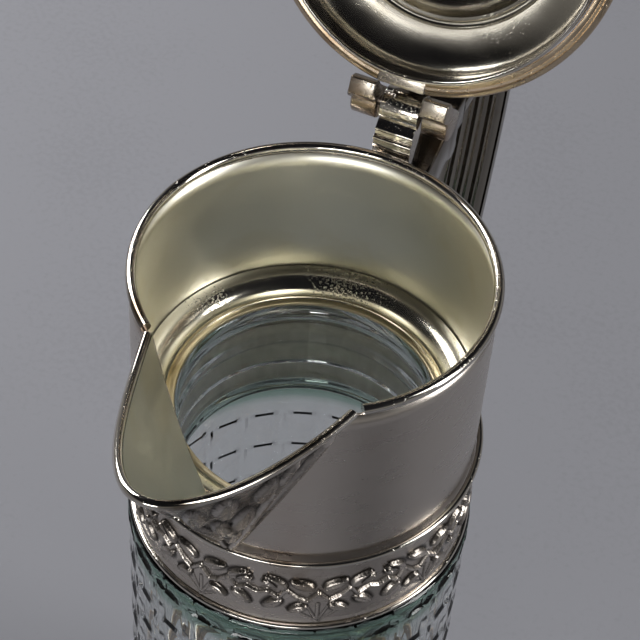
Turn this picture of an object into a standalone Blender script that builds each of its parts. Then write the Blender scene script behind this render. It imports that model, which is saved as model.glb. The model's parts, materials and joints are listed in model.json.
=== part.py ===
"""Lidded claret pitcher: a pressed glass body in a plated collar with a hinged lid.

Metres, +Z up.  The origin is the centre of the flat base.  The spout points to
-Y, the handle and the hinge are at +Y, and the X = 0 plane halves the object.
"""
from math import cos, pi, radians, sin, sqrt

import bmesh
import bpy
from mathutils import Matrix, Vector

# ---- overall sizes -------------------------------------------------------
RIM_RADIUS = 0.042           # outside of the wire round the rim
RIM_HEIGHT = 0.248           # top of the rim above the table
GAP = 0.0003                 # clearance between pieces that touch
STEPS = 48                   # facets round a full turn

# ---- collar: plain wall, rim wire, ledge --------------------------------
COLLAR_WALL = 0.0011         # sheet thickness of the plain wall
RIM_WIRE = 0.0024            # diameter of the rim wire
RIM_PROUD = 0.0007           # how far the rim wire stands out of the wall
RIM_TRIM = 0.0007            # taken off each end of the rim wire for the lip wire
WALL_DROP = 0.0532           # rim down to the upper fillet wire
LEDGE_DROP = 0.0403          # rim down to where the rolled bead leaves the wall
BEAD_WIDTH = 0.0066          # rolled bead, wall side to inner side
BEAD_DROP = 0.0045           # how far the bead falls across its width
LEDGE_WIDTH = 0.0020         # flat ledge inside the bead
LEDGE_SHEET = 0.0010

# ---- leaf band under the plain wall -------------------------------------
BAND_HEIGHT = 0.0247
BAND_SHEET = 0.0010
FILLET_WIRE = 0.0016         # diameter of the upper fillet wire
EDGE_WIRE = 0.0012           # diameter of the lower fillet wire

# ---- glass body ----------------------------------------------------------
GLASS_PROUD = 0.0011         # glass radius beyond the rim radius
GLASS_WALL = 0.0042
GLASS_BASE = 0.0090          # thickness of the solid bottom
NECK_WALL = 0.0062
CEMENT_WALL = 0.0038         # plaster between the neck and the band
NECK_GROOVE = 0.0008         # depth of the rings that key the plaster
NECK_RINGS = 4
HEEL_RADIUS = 0.0030
SHOULDER_HEIGHT = 0.0060     # inside, from the straight side up to the neck

# ---- spout ---------------------------------------------------------------
SPOUT_ANGLE = 37.5           # degrees from the front to the corner of the notch
SPOUT_REACH = 0.0389         # tip of the lip beyond the rim radius
SPOUT_RISE = 0.0105          # tip of the lip above the rim
SPOUT_DROP = 0.0546          # rim down to the point of the notch
SPOUT_SHEET = 0.0010
SPOUT_FLARE = 1.35           # 1 is a straight front edge, more is hollower
LIP_RISE_POWER = 1.6         # how late the lip starts to rise
NOTCH_FOOT = 0.07            # share of the notch's height left blunt at its point
LIP_WIRE = 0.0022

# ---- lid -----------------------------------------------------------------
FLANGE_OVERHANG = 0.0002     # lid edge beyond the rim wire
FLANGE_HEIGHT = 0.0034
BEZEL_CLEARANCE = 0.0018     # locating ring inside the collar
BEZEL_DEPTH = 0.0034
BEZEL_WALL = 0.0010
DOME_SHEET = 0.0009
DOME_STEP_RADIUS = 0.0288    # raised ring round the middle of the lid
DOME_SHOULDER = 0.0052       # height of the outer cove
DOME_RISE = 0.0096           # height of the inner dome above the ring
OPEN_ANGLE = 111.5           # degrees from shut to resting open

# ---- hinge ---------------------------------------------------------------
PIN_BACK = 0.0070            # pin axis behind the rim radius
PIN_RISE = 0.0086            # pin axis above the rim
PIN_RADIUS = 0.0014
PIN_SLACK = 0.00006          # radial running clearance of the pin
PIN_HEAD = 0.0020            # pin end standing out of the left ear
KNUCKLE_RADIUS = 0.0044
STRAP_WIDTH = 0.0105
EAR_WIDTH = 0.0064
EAR_CLEARANCE = 0.0005       # between the strap and each ear
STRAP_FOOT_DROP = 0.0092     # rim down to the foot of the strap
THUMB_HEIGHT = 0.0235        # thumbpiece above the pin axis, lid shut
THUMB_LEAN = 0.0030          # tip of the thumbpiece behind the pin axis, lid shut
THUMB_WIDTH = 0.0100
THUMB_EDGE = 0.0018          # thickness of the thumbpiece at its foot and its tip
THUMB_SWELL = 0.0012         # extra thickness half way up

# ---- finial --------------------------------------------------------------
FINIAL_HEIGHT = 0.0235
FINIAL_RADIUS = 0.0062
STUD_RADIUS = 0.0015
STUD_PROUD = 0.0022          # stud below its nut
NUT_FLATS = 0.0060           # across flats
NUT_HEIGHT = 0.0024
WASHER_RADIUS = 0.0046
WASHER_SHEET = 0.0008

# ---- handle --------------------------------------------------------------
HANDLE_WIDTH = 0.0150        # side to side
HANDLE_THICKNESS = 0.0086
HANDLE_REEDS = 7             # reeds on each broad face
REED_DEPTH = 0.0007
HANDLE_REACH = 0.0765        # outside of the handle beyond the rim radius
ARM_LENGTH = 0.0315          # bracket end behind the rim radius
BRACKET_TALL = 0.0320        # height of the bracket against the collar
LOBE_RADIUS = 0.0032         # scallop under the bracket's outer end
HANDLE_PEAK_DROP = 0.0260    # rim down to the widest place of the handle
HANDLE_OVER = 0.55           # how full the curve is beyond the arm, as a share
HANDLE_TURN = 0.75           # above the widest place
HANDLE_FALL = 0.24           # below the widest place
HANDLE_BACK = 0.36           # before the lower pad
BODY_BAND_DROP = 0.1800      # rim down to the middle of the body band
BODY_BAND_HEIGHT = 0.0140
BODY_BAND_SHEET = 0.0012
LINING_THICKNESS = 0.0010
LINING_SET_BACK = 0.0004     # lining edge inside the edge of the band
BODY_BAND_ROLL = 0.0012      # height of the rounding at each edge of the band
PAD_LENGTH = 0.0085

# ---- values that follow from those above ---------------------------------
COLLAR_OUTER = RIM_RADIUS - RIM_PROUD
COLLAR_INNER = COLLAR_OUTER - COLLAR_WALL
COLLAR_MIDDLE = (COLLAR_OUTER + COLLAR_INNER) / 2
FILLET_Z = RIM_HEIGHT - WALL_DROP
BAND_TOP = FILLET_Z - FILLET_WIRE / 2 - GAP
BAND_BOTTOM = BAND_TOP - BAND_HEIGHT + EDGE_WIRE
GLASS_RADIUS = RIM_RADIUS + GLASS_PROUD
GLASS_TOP = BAND_BOTTOM - EDGE_WIRE - 2 * GAP
LEDGE_Z = RIM_HEIGHT - LEDGE_DROP - BEAD_DROP
MOUTH_Z = LEDGE_Z - LEDGE_SHEET - GAP
BAND_INNER = RIM_RADIUS - BAND_SHEET
NECK_OUTER = BAND_INNER - GAP - CEMENT_WALL
NECK_INNER = NECK_OUTER - NECK_WALL
LEDGE_INNER = COLLAR_INNER - GAP - BEAD_WIDTH - LEDGE_WIDTH
FLANGE_RADIUS = RIM_RADIUS + FLANGE_OVERHANG
FLANGE_Z = RIM_HEIGHT + GAP
FLANGE_TOP = FLANGE_Z + FLANGE_HEIGHT
BEZEL_OUTER = COLLAR_INNER - BEZEL_CLEARANCE
FLANGE_INNER = BEZEL_OUTER + GAP
FLANGE_WIDTH = FLANGE_RADIUS - FLANGE_INNER
PIN_Y = RIM_RADIUS + PIN_BACK
PIN_Z = RIM_HEIGHT + PIN_RISE
EAR_INNER_X = STRAP_WIDTH / 2 + EAR_CLEARANCE
EAR_OUTER_X = EAR_INNER_X + EAR_WIDTH
TIP_Y = RIM_RADIUS + SPOUT_REACH
BODY_BAND_Z = RIM_HEIGHT - BODY_BAND_DROP
BODY_BAND_INNER = GLASS_RADIUS + 2 * GAP + LINING_THICKNESS
BODY_BAND_OUTER = BODY_BAND_INNER + BODY_BAND_SHEET

# ---- materials: colour, metallic, roughness -------------------------------
FINISHES = {
    "silver_plate": ((0.74, 0.71, 0.67), 1.0, 0.14),
    "worn_gilt": ((0.62, 0.53, 0.36), 1.0, 0.28),
    "steel_pin": ((0.30, 0.27, 0.25), 1.0, 0.30),
    "clear_glass": ((0.72, 0.84, 0.79), 0.0, 0.03),
    "plaster": ((0.78, 0.75, 0.68), 0.0, 0.90),
    "cork": ((0.45, 0.31, 0.19), 0.0, 0.85),
}


def clear_scene():
    for obj in list(bpy.data.objects):
        bpy.data.objects.remove(obj, do_unlink=True)


def new_collection(name):
    collection = bpy.data.collections.new(name)
    bpy.context.scene.collection.children.link(collection)
    return collection


def new_material(name):
    colour, metallic, roughness = FINISHES[name]
    material = bpy.data.materials.new(name)
    material.use_nodes = True
    shader = material.node_tree.nodes["Principled BSDF"]
    shader.inputs["Base Color"].default_value = (*colour, 1.0)
    shader.inputs["Metallic"].default_value = metallic
    shader.inputs["Roughness"].default_value = roughness
    if name == "clear_glass":
        shader.inputs["Transmission Weight"].default_value = 1.0
        shader.inputs["IOR"].default_value = 1.5
    return material


clear_scene()
PARTS = new_collection("claret_pitcher")
CUTTERS = new_collection("cutters")
MATERIALS = {name: new_material(name) for name in FINISHES}

# Lid pieces are modelled shut and hang on this pivot, which holds them open.
LID_PIVOT = bpy.data.objects.new("lid_pivot", None)
LID_PIVOT.location = (0.0, PIN_Y, PIN_Z)
LID_PIVOT.rotation_euler = (radians(-OPEN_ANGLE), 0.0, 0.0)
PARTS.objects.link(LID_PIVOT)


# ---- helpers ---------------------------------------------------------------
def on_lid(obj):
    """Hang an object modelled in the shut position on the lid's pivot."""
    obj.parent = LID_PIVOT
    obj.location = Vector(obj.location) - Vector((0.0, PIN_Y, PIN_Z))
    return obj


def finish(obj, material, smooth=True):
    obj.data.materials.clear()
    obj.data.materials.append(MATERIALS[material])
    if smooth and obj.type == "MESH":
        obj.data.shade_smooth()
        obj.data.set_sharp_from_angle(angle=radians(35))
    return obj


def as_cutter(obj):
    for collection in list(obj.users_collection):
        collection.objects.unlink(obj)
    CUTTERS.objects.link(obj)
    obj.hide_render = True
    obj.display_type = "WIRE"
    return obj


def arc(centre, radius, start, end, count):
    """Points round part of a circle, angles in degrees, both ends included."""
    points = []
    for i in range(count + 1):
        angle = radians(start + (end - start) * i / count)
        points.append((centre[0] + radius * cos(angle), centre[1] + radius * sin(angle)))
    return points


def turned(name, profile, closed=True, steps=STEPS):
    """Revolve an (r, z) profile, listed down its outer side, about Z."""
    mesh = bpy.data.meshes.new(name)
    bm = bmesh.new()
    verts = [bm.verts.new((r, 0.0, z)) for r, z in profile]
    for a, b in zip(verts, verts[1:]):
        bm.edges.new((a, b))
    if closed:
        bm.edges.new((verts[-1], verts[0]))
    bm.to_mesh(mesh)
    bm.free()
    obj = bpy.data.objects.new(name, mesh)
    PARTS.objects.link(obj)
    screw = obj.modifiers.new("turn", "SCREW")
    screw.axis = "Z"
    screw.angle = 2 * pi
    screw.steps = steps
    screw.render_steps = steps
    screw.use_merge_vertices = True
    screw.merge_threshold = 0.00001
    screw.use_smooth_shade = True
    return obj


def evaluated_mesh(obj):
    """A plain mesh of an object's evaluated shape, with its loose caps welded."""
    graph = bpy.context.evaluated_depsgraph_get()
    mesh = bpy.data.meshes.new_from_object(obj.evaluated_get(graph), depsgraph=graph)
    bm = bmesh.new()
    bm.from_mesh(mesh)
    bmesh.ops.remove_doubles(bm, verts=bm.verts, dist=0.000005)
    bmesh.ops.recalc_face_normals(bm, faces=bm.faces)
    bm.to_mesh(mesh)
    bm.free()
    return mesh


def meshed(obj):
    """Replace a curve by a mesh object of the same name, place and shape."""
    bpy.context.view_layer.update()
    name = obj.name
    mesh = evaluated_mesh(obj)
    place = obj.matrix_world.copy()
    data = obj.data
    bpy.data.objects.remove(obj, do_unlink=True)
    bpy.data.curves.remove(data)
    mesh.name = name
    mesh.transform(place)
    solid = bpy.data.objects.new(name, mesh)
    PARTS.objects.link(solid)
    return solid


def plate(name, outline, thickness, plane="YZ", offset=0.0):
    """Extrude a flat outline to a mesh, centred on offset along the plane's normal."""
    curve = bpy.data.curves.new(name, "CURVE")
    curve.dimensions = "2D"
    curve.fill_mode = "BOTH"
    curve.extrude = thickness / 2
    spline = curve.splines.new("POLY")
    spline.points.add(len(outline) - 1)
    for point, (a, b) in zip(spline.points, outline):
        point.co = (a, b, 0.0, 1.0)
    spline.use_cyclic_u = True
    obj = bpy.data.objects.new(name, curve)
    PARTS.objects.link(obj)
    if plane == "YZ":
        obj.rotation_euler = (pi / 2, 0.0, pi / 2)
        obj.location = (offset, 0.0, 0.0)
    elif plane == "XZ":
        obj.rotation_euler = (pi / 2, 0.0, 0.0)
        obj.location = (0.0, offset, 0.0)
    else:
        obj.location = (0.0, 0.0, offset)
    return meshed(obj)


def tube(name, points, diameter, cyclic=False):
    """A round wire along a list of points."""
    curve = bpy.data.curves.new(name, "CURVE")
    curve.dimensions = "3D"
    curve.bevel_depth = diameter / 2
    curve.bevel_resolution = 2
    curve.use_fill_caps = not cyclic
    spline = curve.splines.new("POLY")
    spline.points.add(len(points) - 1)
    for point, place in zip(spline.points, points):
        point.co = (*place, 1.0)
    spline.use_cyclic_u = cyclic
    obj = bpy.data.objects.new(name, curve)
    PARTS.objects.link(obj)
    return meshed(obj)


def rod(name, radius, length, place, along="Z", sides=24):
    """A plain cylinder centred on a place."""
    mesh = bpy.data.meshes.new(name)
    bm = bmesh.new()
    bmesh.ops.create_cone(
        bm, cap_ends=True, segments=sides, radius1=radius, radius2=radius, depth=length)
    bm.to_mesh(mesh)
    bm.free()
    if along == "X":
        mesh.transform(Matrix.Rotation(pi / 2, 4, "Y"))
    mesh.transform(Matrix.Translation(place))
    obj = bpy.data.objects.new(name, mesh)
    PARTS.objects.link(obj)
    return obj


def box(name, low, high):
    mesh = bpy.data.meshes.new(name)
    bm = bmesh.new()
    bmesh.ops.create_cube(bm, size=1.0)
    size = [b - a for a, b in zip(low, high)]
    centre = [(a + b) / 2 for a, b in zip(low, high)]
    bmesh.ops.scale(bm, vec=size, verts=bm.verts)
    bmesh.ops.translate(bm, vec=centre, verts=bm.verts)
    bm.to_mesh(mesh)
    bm.free()
    obj = bpy.data.objects.new(name, mesh)
    PARTS.objects.link(obj)
    return obj


def combine(obj, other, operation="DIFFERENCE"):
    modifier = obj.modifiers.new(operation.lower(), "BOOLEAN")
    modifier.operation = operation
    modifier.object = other
    as_cutter(other)
    return obj


# ---- glass body and what holds it -------------------------------------------
def neck_profile():
    """The neck's outer side, top to bottom, with rings that key the plaster."""
    points = []
    ring = (MOUTH_Z - GLASS_TOP) / NECK_RINGS
    for i in range(NECK_RINGS):
        top = MOUTH_Z - i * ring
        points.append((NECK_OUTER - NECK_GROOVE, top))
        points.append((NECK_OUTER, top - ring / 2))
    return points


def glass_body():
    inner = GLASS_RADIUS - GLASS_WALL
    shoulder = SHOULDER_HEIGHT
    profile = neck_profile()
    profile.append((NECK_OUTER, GLASS_TOP))
    profile.append((GLASS_RADIUS - shoulder / 6, GLASS_TOP))
    profile.append((GLASS_RADIUS, GLASS_TOP - shoulder / 6))
    heel = (GLASS_RADIUS - HEEL_RADIUS, HEEL_RADIUS)
    profile += arc(heel, HEEL_RADIUS, 0, -90, 3)
    profile.append((0.0, 0.0))
    profile.append((0.0, GLASS_BASE))
    floor = (inner - HEEL_RADIUS, GLASS_BASE + HEEL_RADIUS)
    profile += arc(floor, HEEL_RADIUS, -90, 0, 3)
    profile.append((inner, GLASS_TOP - shoulder))
    profile.append((inner - (inner - NECK_INNER) / 3, GLASS_TOP - shoulder / 3))
    profile.append((NECK_INNER, GLASS_TOP + shoulder / 3))
    lip = NECK_WALL / 4
    profile += arc((NECK_INNER + lip, MOUTH_Z - lip), lip, 180, 90, 3)
    body = turned("glass_body", profile)
    return finish(body, "clear_glass")


def neck_cement():
    """Plaster that bonds the neck into the band."""
    outer = BAND_INNER - GAP
    inner = NECK_OUTER + GAP
    top = BAND_TOP - GAP
    bottom = GLASS_TOP + GAP
    profile = [(outer, top), (outer, bottom), (inner, bottom), (inner, top)]
    return finish(turned("neck_cement", profile), "plaster")


# ---- collar -------------------------------------------------------------------
def notch_half_width(share):
    """Half the spout notch's width, where share runs from 0 at its point to 1."""
    return COLLAR_MIDDLE * sin(radians(SPOUT_ANGLE)) * share


def notch_height(share):
    return RIM_HEIGHT - SPOUT_DROP * (1 - share)


def collar_wall():
    top = RIM_HEIGHT - RIM_WIRE - GAP
    bottom = BAND_TOP + GAP
    profile = [
        (COLLAR_OUTER, top), (COLLAR_OUTER, bottom), (COLLAR_INNER, bottom), (COLLAR_INNER, top)]
    wall = finish(turned("collar_wall", profile), "silver_plate")
    clear = SPOUT_SHEET / 2 + GAP
    above = 1.2
    foot = notch_half_width(NOTCH_FOOT) + clear
    wide = notch_half_width(above) + clear
    outline = [
        (-foot, notch_height(NOTCH_FOOT) - GAP), (foot, notch_height(NOTCH_FOOT) - GAP),
        (wide, notch_height(above)), (-wide, notch_height(above))]
    cutter = plate("spout_notch", outline, RIM_RADIUS, plane="XZ", offset=-RIM_RADIUS)
    return combine(wall, cutter)


def rim_wire():
    """Round wire on the rim, from one corner of the spout round to the other."""
    radius = RIM_RADIUS - RIM_WIRE / 2
    trim = RIM_TRIM / radius
    start = radians(-90 + SPOUT_ANGLE) + trim
    sweep = 2 * (pi - radians(SPOUT_ANGLE) - trim)
    count = round(STEPS * sweep / (2 * pi))
    points = []
    for i in range(count + 1):
        angle = start + sweep * i / count
        points.append((radius * cos(angle), radius * sin(angle), RIM_HEIGHT - RIM_WIRE / 2))
    return finish(tube("rim_wire", points, RIM_WIRE), "silver_plate")


def inner_ledge_ring():
    """Pressed ring inside the collar: a rolled bead and a flat ledge over the glass."""
    outer = COLLAR_INNER - GAP
    bead_top = RIM_HEIGHT - LEDGE_DROP
    bead_inner = outer - BEAD_WIDTH
    upper = []
    for i in range(6):
        turn = pi / 2 * i / 5
        r = outer - BEAD_WIDTH * sin(turn)
        z = bead_top - BEAD_DROP * (1 - cos(turn))
        upper.append((r, z))
    ledge = [(bead_inner - LEDGE_WIDTH, LEDGE_Z)]
    under = [(bead_inner - LEDGE_WIDTH, LEDGE_Z - LEDGE_SHEET)]
    for r, z in reversed(upper[1:]):
        under.append((r + LEDGE_SHEET * (r - bead_inner) / BEAD_WIDTH, z - LEDGE_SHEET))
    under.append((outer, bead_top - 2 * LEDGE_SHEET))
    profile = upper + ledge + under
    profile.reverse()
    return finish(turned("inner_ledge_ring", profile), "worn_gilt")


def upper_fillet_wire():
    """Roll round the foot of the plain wall, outside it."""
    radius = COLLAR_OUTER + GAP + FILLET_WIRE / 2
    profile = arc((radius, FILLET_Z), FILLET_WIRE / 2, 90, -225, 7)
    return finish(turned("upper_fillet_wire", profile), "silver_plate")


def leaf_band():
    """Broad border that takes the leaf relief, slightly bellied."""
    belly = BAND_SHEET / 4
    middle = (BAND_TOP + BAND_BOTTOM) / 2
    profile = [
        (RIM_RADIUS, BAND_TOP), (RIM_RADIUS + belly, middle), (RIM_RADIUS, BAND_BOTTOM),
        (BAND_INNER, BAND_BOTTOM), (BAND_INNER, BAND_TOP)]
    return finish(turned("leaf_band", profile), "silver_plate")


def lower_fillet_wire():
    """Flanged wire that closes the band against the glass shoulder."""
    z = BAND_BOTTOM - GAP - EDGE_WIRE / 2
    profile = arc((RIM_RADIUS, z), EDGE_WIRE / 2, 90, -90, 4)
    profile += [(BAND_INNER, z - EDGE_WIRE / 2), (BAND_INNER, z + EDGE_WIRE / 2)]
    return finish(turned("lower_fillet_wire", profile), "silver_plate")


# ---- spout --------------------------------------------------------------------
def spout_point(share, across):
    """A place on the spout: share 0..1 is its height, across -1..1 its width."""
    half = notch_half_width(share)
    edge = sqrt(COLLAR_MIDDLE ** 2 - half ** 2)
    lip_edge = COLLAR_MIDDLE * cos(radians(SPOUT_ANGLE))
    reach = (TIP_Y - lip_edge) * share ** SPOUT_FLARE
    bulge = 1 - across * across
    rise = SPOUT_RISE * share ** 2 * bulge ** LIP_RISE_POWER
    height = notch_height(share) + rise
    return Vector((half * across, -(edge + reach * bulge), height))


def below_lip(across, distance):
    """The share of the height that lies a distance down the spout from its lip."""
    step = 0.001
    speed = (spout_point(1.0, across) - spout_point(1.0 - step, across)).length / step
    return 1.0 - distance / speed


def spout_shell():
    """Pouring spout that closes the notch, open above."""
    rows = 10
    columns = 18
    mesh = bpy.data.meshes.new("spout_shell")
    bm = bmesh.new()
    grid = []
    for i in range(rows + 1):
        line = []
        for j in range(columns + 1):
            across = sin(pi / 2 * (2 * j / columns - 1))
            top = below_lip(across, LIP_WIRE + GAP)
            share = NOTCH_FOOT + (top - NOTCH_FOOT) * i / rows
            line.append(bm.verts.new(spout_point(share, across)))
        grid.append(line)
    for low, high in zip(grid, grid[1:]):
        for j in range(columns):
            bm.faces.new((low[j], low[j + 1], high[j + 1], high[j]))
    bm.to_mesh(mesh)
    bm.free()
    shell = bpy.data.objects.new("spout_shell", mesh)
    PARTS.objects.link(shell)
    thick = shell.modifiers.new("sheet", "SOLIDIFY")
    thick.thickness = SPOUT_SHEET
    thick.offset = 0.0
    return finish(shell, "silver_plate")


def spout_lip_wire():
    """Rolled edge of the spout, corner to corner round the tip."""
    count = 28
    points = []
    for i in range(count + 1):
        across = 0.985 * sin(pi / 2 * (2 * i / count - 1))
        points.append(spout_point(below_lip(across, LIP_WIRE / 2), across))
    return finish(tube("spout_lip_wire", points, LIP_WIRE), "silver_plate")


# ---- hinge --------------------------------------------------------------------
def knuckle_arc(start, end, count):
    return arc((PIN_Y, PIN_Z), KNUCKLE_RADIUS, start, end, count)


def bored(obj, hangs_on_lid=False):
    """Bore a hinge piece for the pin."""
    drill = rod(obj.name + "_bore", PIN_RADIUS + PIN_SLACK, 4 * EAR_OUTER_X,
                (0.0, PIN_Y, PIN_Z), along="X", sides=32)
    if hangs_on_lid:
        on_lid(drill)
    return combine(obj, drill)


def hinge_strap():
    """Upright strap soldered to the back of the collar, with the middle knuckle."""
    foot_z = RIM_HEIGHT - STRAP_FOOT_DROP
    front = RIM_RADIUS + GAP
    step_z = RIM_HEIGHT - RIM_WIRE - 2 * GAP
    outline = [(front, PIN_Z - KNUCKLE_RADIUS), (front, step_z)]
    outline += [(COLLAR_INNER, step_z), (COLLAR_INNER, foot_z)]
    outline += [(PIN_Y - PIN_BACK / 5, foot_z), (PIN_Y + KNUCKLE_RADIUS / 2, RIM_HEIGHT)]
    outline += knuckle_arc(-30, 180, 14)
    strap = plate("hinge_strap", outline, STRAP_WIDTH)
    seat = rod("strap_seat", COLLAR_OUTER + GAP, 4 * STRAP_FOOT_DROP, (0.0, 0.0, foot_z),
               sides=4 * STEPS)
    combine(strap, seat)
    return finish(bored(strap), "silver_plate")


def lid_ear(name, side):
    """Knuckle and lug at one side of the strap, soldered to the lid's edge."""
    low = FLANGE_Z + GAP
    outline = [(FLANGE_INNER, low), (PIN_Y - KNUCKLE_RADIUS / 2, low)]
    outline += knuckle_arc(-100, 120, 14)
    outline += [(FLANGE_RADIUS, FLANGE_TOP + FLANGE_HEIGHT / 2), (FLANGE_INNER, FLANGE_TOP)]
    middle = side * (EAR_INNER_X + EAR_OUTER_X) / 2
    ear = plate(name, outline, EAR_WIDTH, offset=middle)
    on_lid(ear)
    seat = rod(name + "_seat", FLANGE_RADIUS + GAP, 8 * FLANGE_HEIGHT, (0.0, 0.0, FLANGE_Z),
               sides=4 * STEPS)
    on_lid(seat)
    combine(ear, seat)
    return finish(bored(ear, hangs_on_lid=True), "worn_gilt")


def hinge_pin():
    """Straight pin through the three knuckles, standing out at the left."""
    left = -EAR_OUTER_X - PIN_HEAD
    right = EAR_OUTER_X - PIN_HEAD / 4
    place = ((left + right) / 2, PIN_Y, PIN_Z)
    pin = rod("hinge_pin", PIN_RADIUS, right - left, place, along="X", sides=32)
    return finish(pin, "steel_pin")


# ---- lid ------------------------------------------------------------------------
def lid_rim_flange():
    """Stepped ring that rests on the rim, notched for the hinge strap."""
    step = FLANGE_HEIGHT / 3
    shelf = FLANGE_WIDTH / 3
    profile = [
        (FLANGE_INNER, FLANGE_TOP), (FLANGE_RADIUS - shelf, FLANGE_TOP),
        (FLANGE_RADIUS - shelf / 2, FLANGE_TOP - step / 2),
        (FLANGE_RADIUS, FLANGE_TOP - step), (FLANGE_RADIUS, FLANGE_Z + step / 2),
        (FLANGE_RADIUS - step / 2, FLANGE_Z), (FLANGE_INNER, FLANGE_Z)]
    flange = on_lid(finish(turned("lid_rim_flange", profile), "worn_gilt"))
    half = EAR_INNER_X + GAP
    low = (-half, FLANGE_INNER - GAP - FLANGE_WIDTH, FLANGE_Z - FLANGE_HEIGHT)
    high = (half, PIN_Y, FLANGE_TOP + FLANGE_HEIGHT)
    notch = on_lid(box("flange_notch", low, high))
    return combine(flange, notch)


def lid_hinge_plate():
    """Flat plate that closes the flange's notch and ties the two ears."""
    low = (-EAR_INNER_X, FLANGE_INNER, FLANGE_Z)
    high = (EAR_INNER_X, RIM_RADIUS - GAP, FLANGE_TOP)
    return on_lid(finish(box("lid_hinge_plate", low, high), "silver_plate", smooth=False))


def lid_bezel_ring():
    """Locating ring that drops inside the collar."""
    inner = BEZEL_OUTER - BEZEL_WALL
    bottom = FLANGE_Z - BEZEL_DEPTH
    lead = BEZEL_WALL / 2
    profile = [
        (BEZEL_OUTER, FLANGE_TOP), (BEZEL_OUTER, bottom + lead), (BEZEL_OUTER - lead, bottom),
        (inner, bottom), (inner, FLANGE_TOP)]
    return on_lid(finish(turned("lid_bezel_ring", profile), "worn_gilt"))


def dome_profile():
    """The dome's upper side from its edge to the hole for the finial's stud."""
    edge = (FLANGE_INNER - GAP, FLANGE_TOP + GAP + DOME_SHEET)
    shoulder_z = edge[1] + DOME_SHOULDER
    points = []
    for i in range(6):
        turn = pi / 2 * i / 5
        r = edge[0] + (DOME_STEP_RADIUS - edge[0]) * (1 - cos(turn))
        points.append((r, edge[1] + DOME_SHOULDER * sin(turn)))
    bead = DOME_SHEET
    points.append((DOME_STEP_RADIUS - bead, shoulder_z + bead))
    points.append((DOME_STEP_RADIUS - 2 * bead, shoulder_z + bead / 2))
    inner = DOME_STEP_RADIUS - 3 * bead
    hole = STUD_RADIUS + GAP
    for i in range(6):
        turn = pi / 2 * i / 5
        r = inner * cos(turn)
        points.append((max(r, hole), shoulder_z + bead / 2 + DOME_RISE * sin(turn)))
    return points


def lid_dome():
    """Cover of the lid: a cove, a raised ring and a low dome."""
    outer = dome_profile()
    top_z = outer[-1][1]
    inner = [(max(r - DOME_SHEET * 0.5, STUD_RADIUS + GAP), z - DOME_SHEET) for r, z in outer]
    inner[0] = (outer[0][0], outer[0][1] - DOME_SHEET)
    outer[-1] = (STUD_RADIUS + GAP, top_z)
    inner[-1] = (STUD_RADIUS + GAP, top_z - DOME_SHEET)
    profile = list(reversed(outer)) + inner
    return on_lid(finish(turned("lid_dome", profile), "silver_plate"))


def dome_top():
    return dome_profile()[-1][1]


def finial():
    """Turned knob on the lid with a stud that passes through the dome."""
    seat = dome_top() + GAP
    waist = FINIAL_RADIUS * 0.45
    top = seat + FINIAL_HEIGHT
    ball = FINIAL_RADIUS * 0.85
    profile = arc((0.0, top - ball), ball, 90, -50, 8)
    profile += [
        (waist, seat + FINIAL_HEIGHT * 0.40), (waist, seat + FINIAL_HEIGHT * 0.26),
        (FINIAL_RADIUS, seat + FINIAL_HEIGHT * 0.13), (FINIAL_RADIUS, seat + FINIAL_HEIGHT * 0.05),
        (FINIAL_RADIUS * 0.8, seat)]
    stud_end = dome_top() - DOME_SHEET - WASHER_SHEET - NUT_HEIGHT - STUD_PROUD
    profile += [(STUD_RADIUS, seat), (STUD_RADIUS, stud_end), (0.0, stud_end)]
    profile[0] = (0.0, top)
    return on_lid(finish(turned("lid_finial", profile, closed=False, steps=24), "silver_plate"))


def finial_washer():
    top = dome_top() - DOME_SHEET - GAP
    hole = STUD_RADIUS + GAP
    profile = [
        (WASHER_RADIUS, top), (WASHER_RADIUS, top - WASHER_SHEET),
        (hole, top - WASHER_SHEET), (hole, top)]
    return on_lid(finish(turned("finial_washer", profile, steps=24), "worn_gilt"))


def finial_nut():
    """Hexagon nut under the dome."""
    top = dome_top() - DOME_SHEET - WASHER_SHEET - 2 * GAP
    place = (0.0, 0.0, top - NUT_HEIGHT / 2)
    nut = rod("finial_nut", NUT_FLATS / sqrt(3), NUT_HEIGHT, place, sides=6)
    on_lid(nut)
    thread = rod("nut_bore", STUD_RADIUS + GAP, 2 * NUT_HEIGHT, place, sides=24)
    on_lid(thread)
    return finish(combine(nut, thread), "worn_gilt", smooth=False)


def shut_to_open(y, z):
    """Where a place on the shut lid goes when the lid lies open."""
    turn = radians(OPEN_ANGLE)
    dy = y - PIN_Y
    dz = z - PIN_Z
    return (PIN_Y + dy * cos(turn) + dz * sin(turn), PIN_Z - dy * sin(turn) + dz * cos(turn))


def thumb_tip():
    return (PIN_Y + THUMB_LEAN, PIN_Z + THUMB_HEIGHT)


def thumbpiece():
    """Curved lever behind the lid: pressing it down lifts the lid."""
    tip_y, tip_z = thumb_tip()
    base_z = FLANGE_TOP + GAP
    reach = tip_z - base_z
    back = RIM_RADIUS - GAP
    front = back - THUMB_EDGE
    outline = [(back, base_z)]
    for i in range(1, 7):
        share = i / 7
        outline.append((back + (tip_y - back) * share ** 2.2, base_z + reach * share))
    outline.append((tip_y, tip_z - THUMB_EDGE / 3))
    outline.append((tip_y - THUMB_EDGE / 2, tip_z))
    for i in range(6, 0, -1):
        share = i / 7
        thick = THUMB_EDGE + THUMB_SWELL * sin(pi * share)
        outline.append((back - thick + (tip_y - back) * share ** 2.2, base_z + reach * share))
    outline.append((front, base_z))
    lever = plate("lid_thumbpiece", outline, THUMB_WIDTH)
    return on_lid(finish(lever, "silver_plate"))


# ---- handle ---------------------------------------------------------------------
def arm_top_z():
    """Height of the arm's top where the open thumbpiece rests on it."""
    return shut_to_open(*thumb_tip())[1] - 2 * GAP


def bracket_end():
    return RIM_RADIUS + ARM_LENGTH


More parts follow.
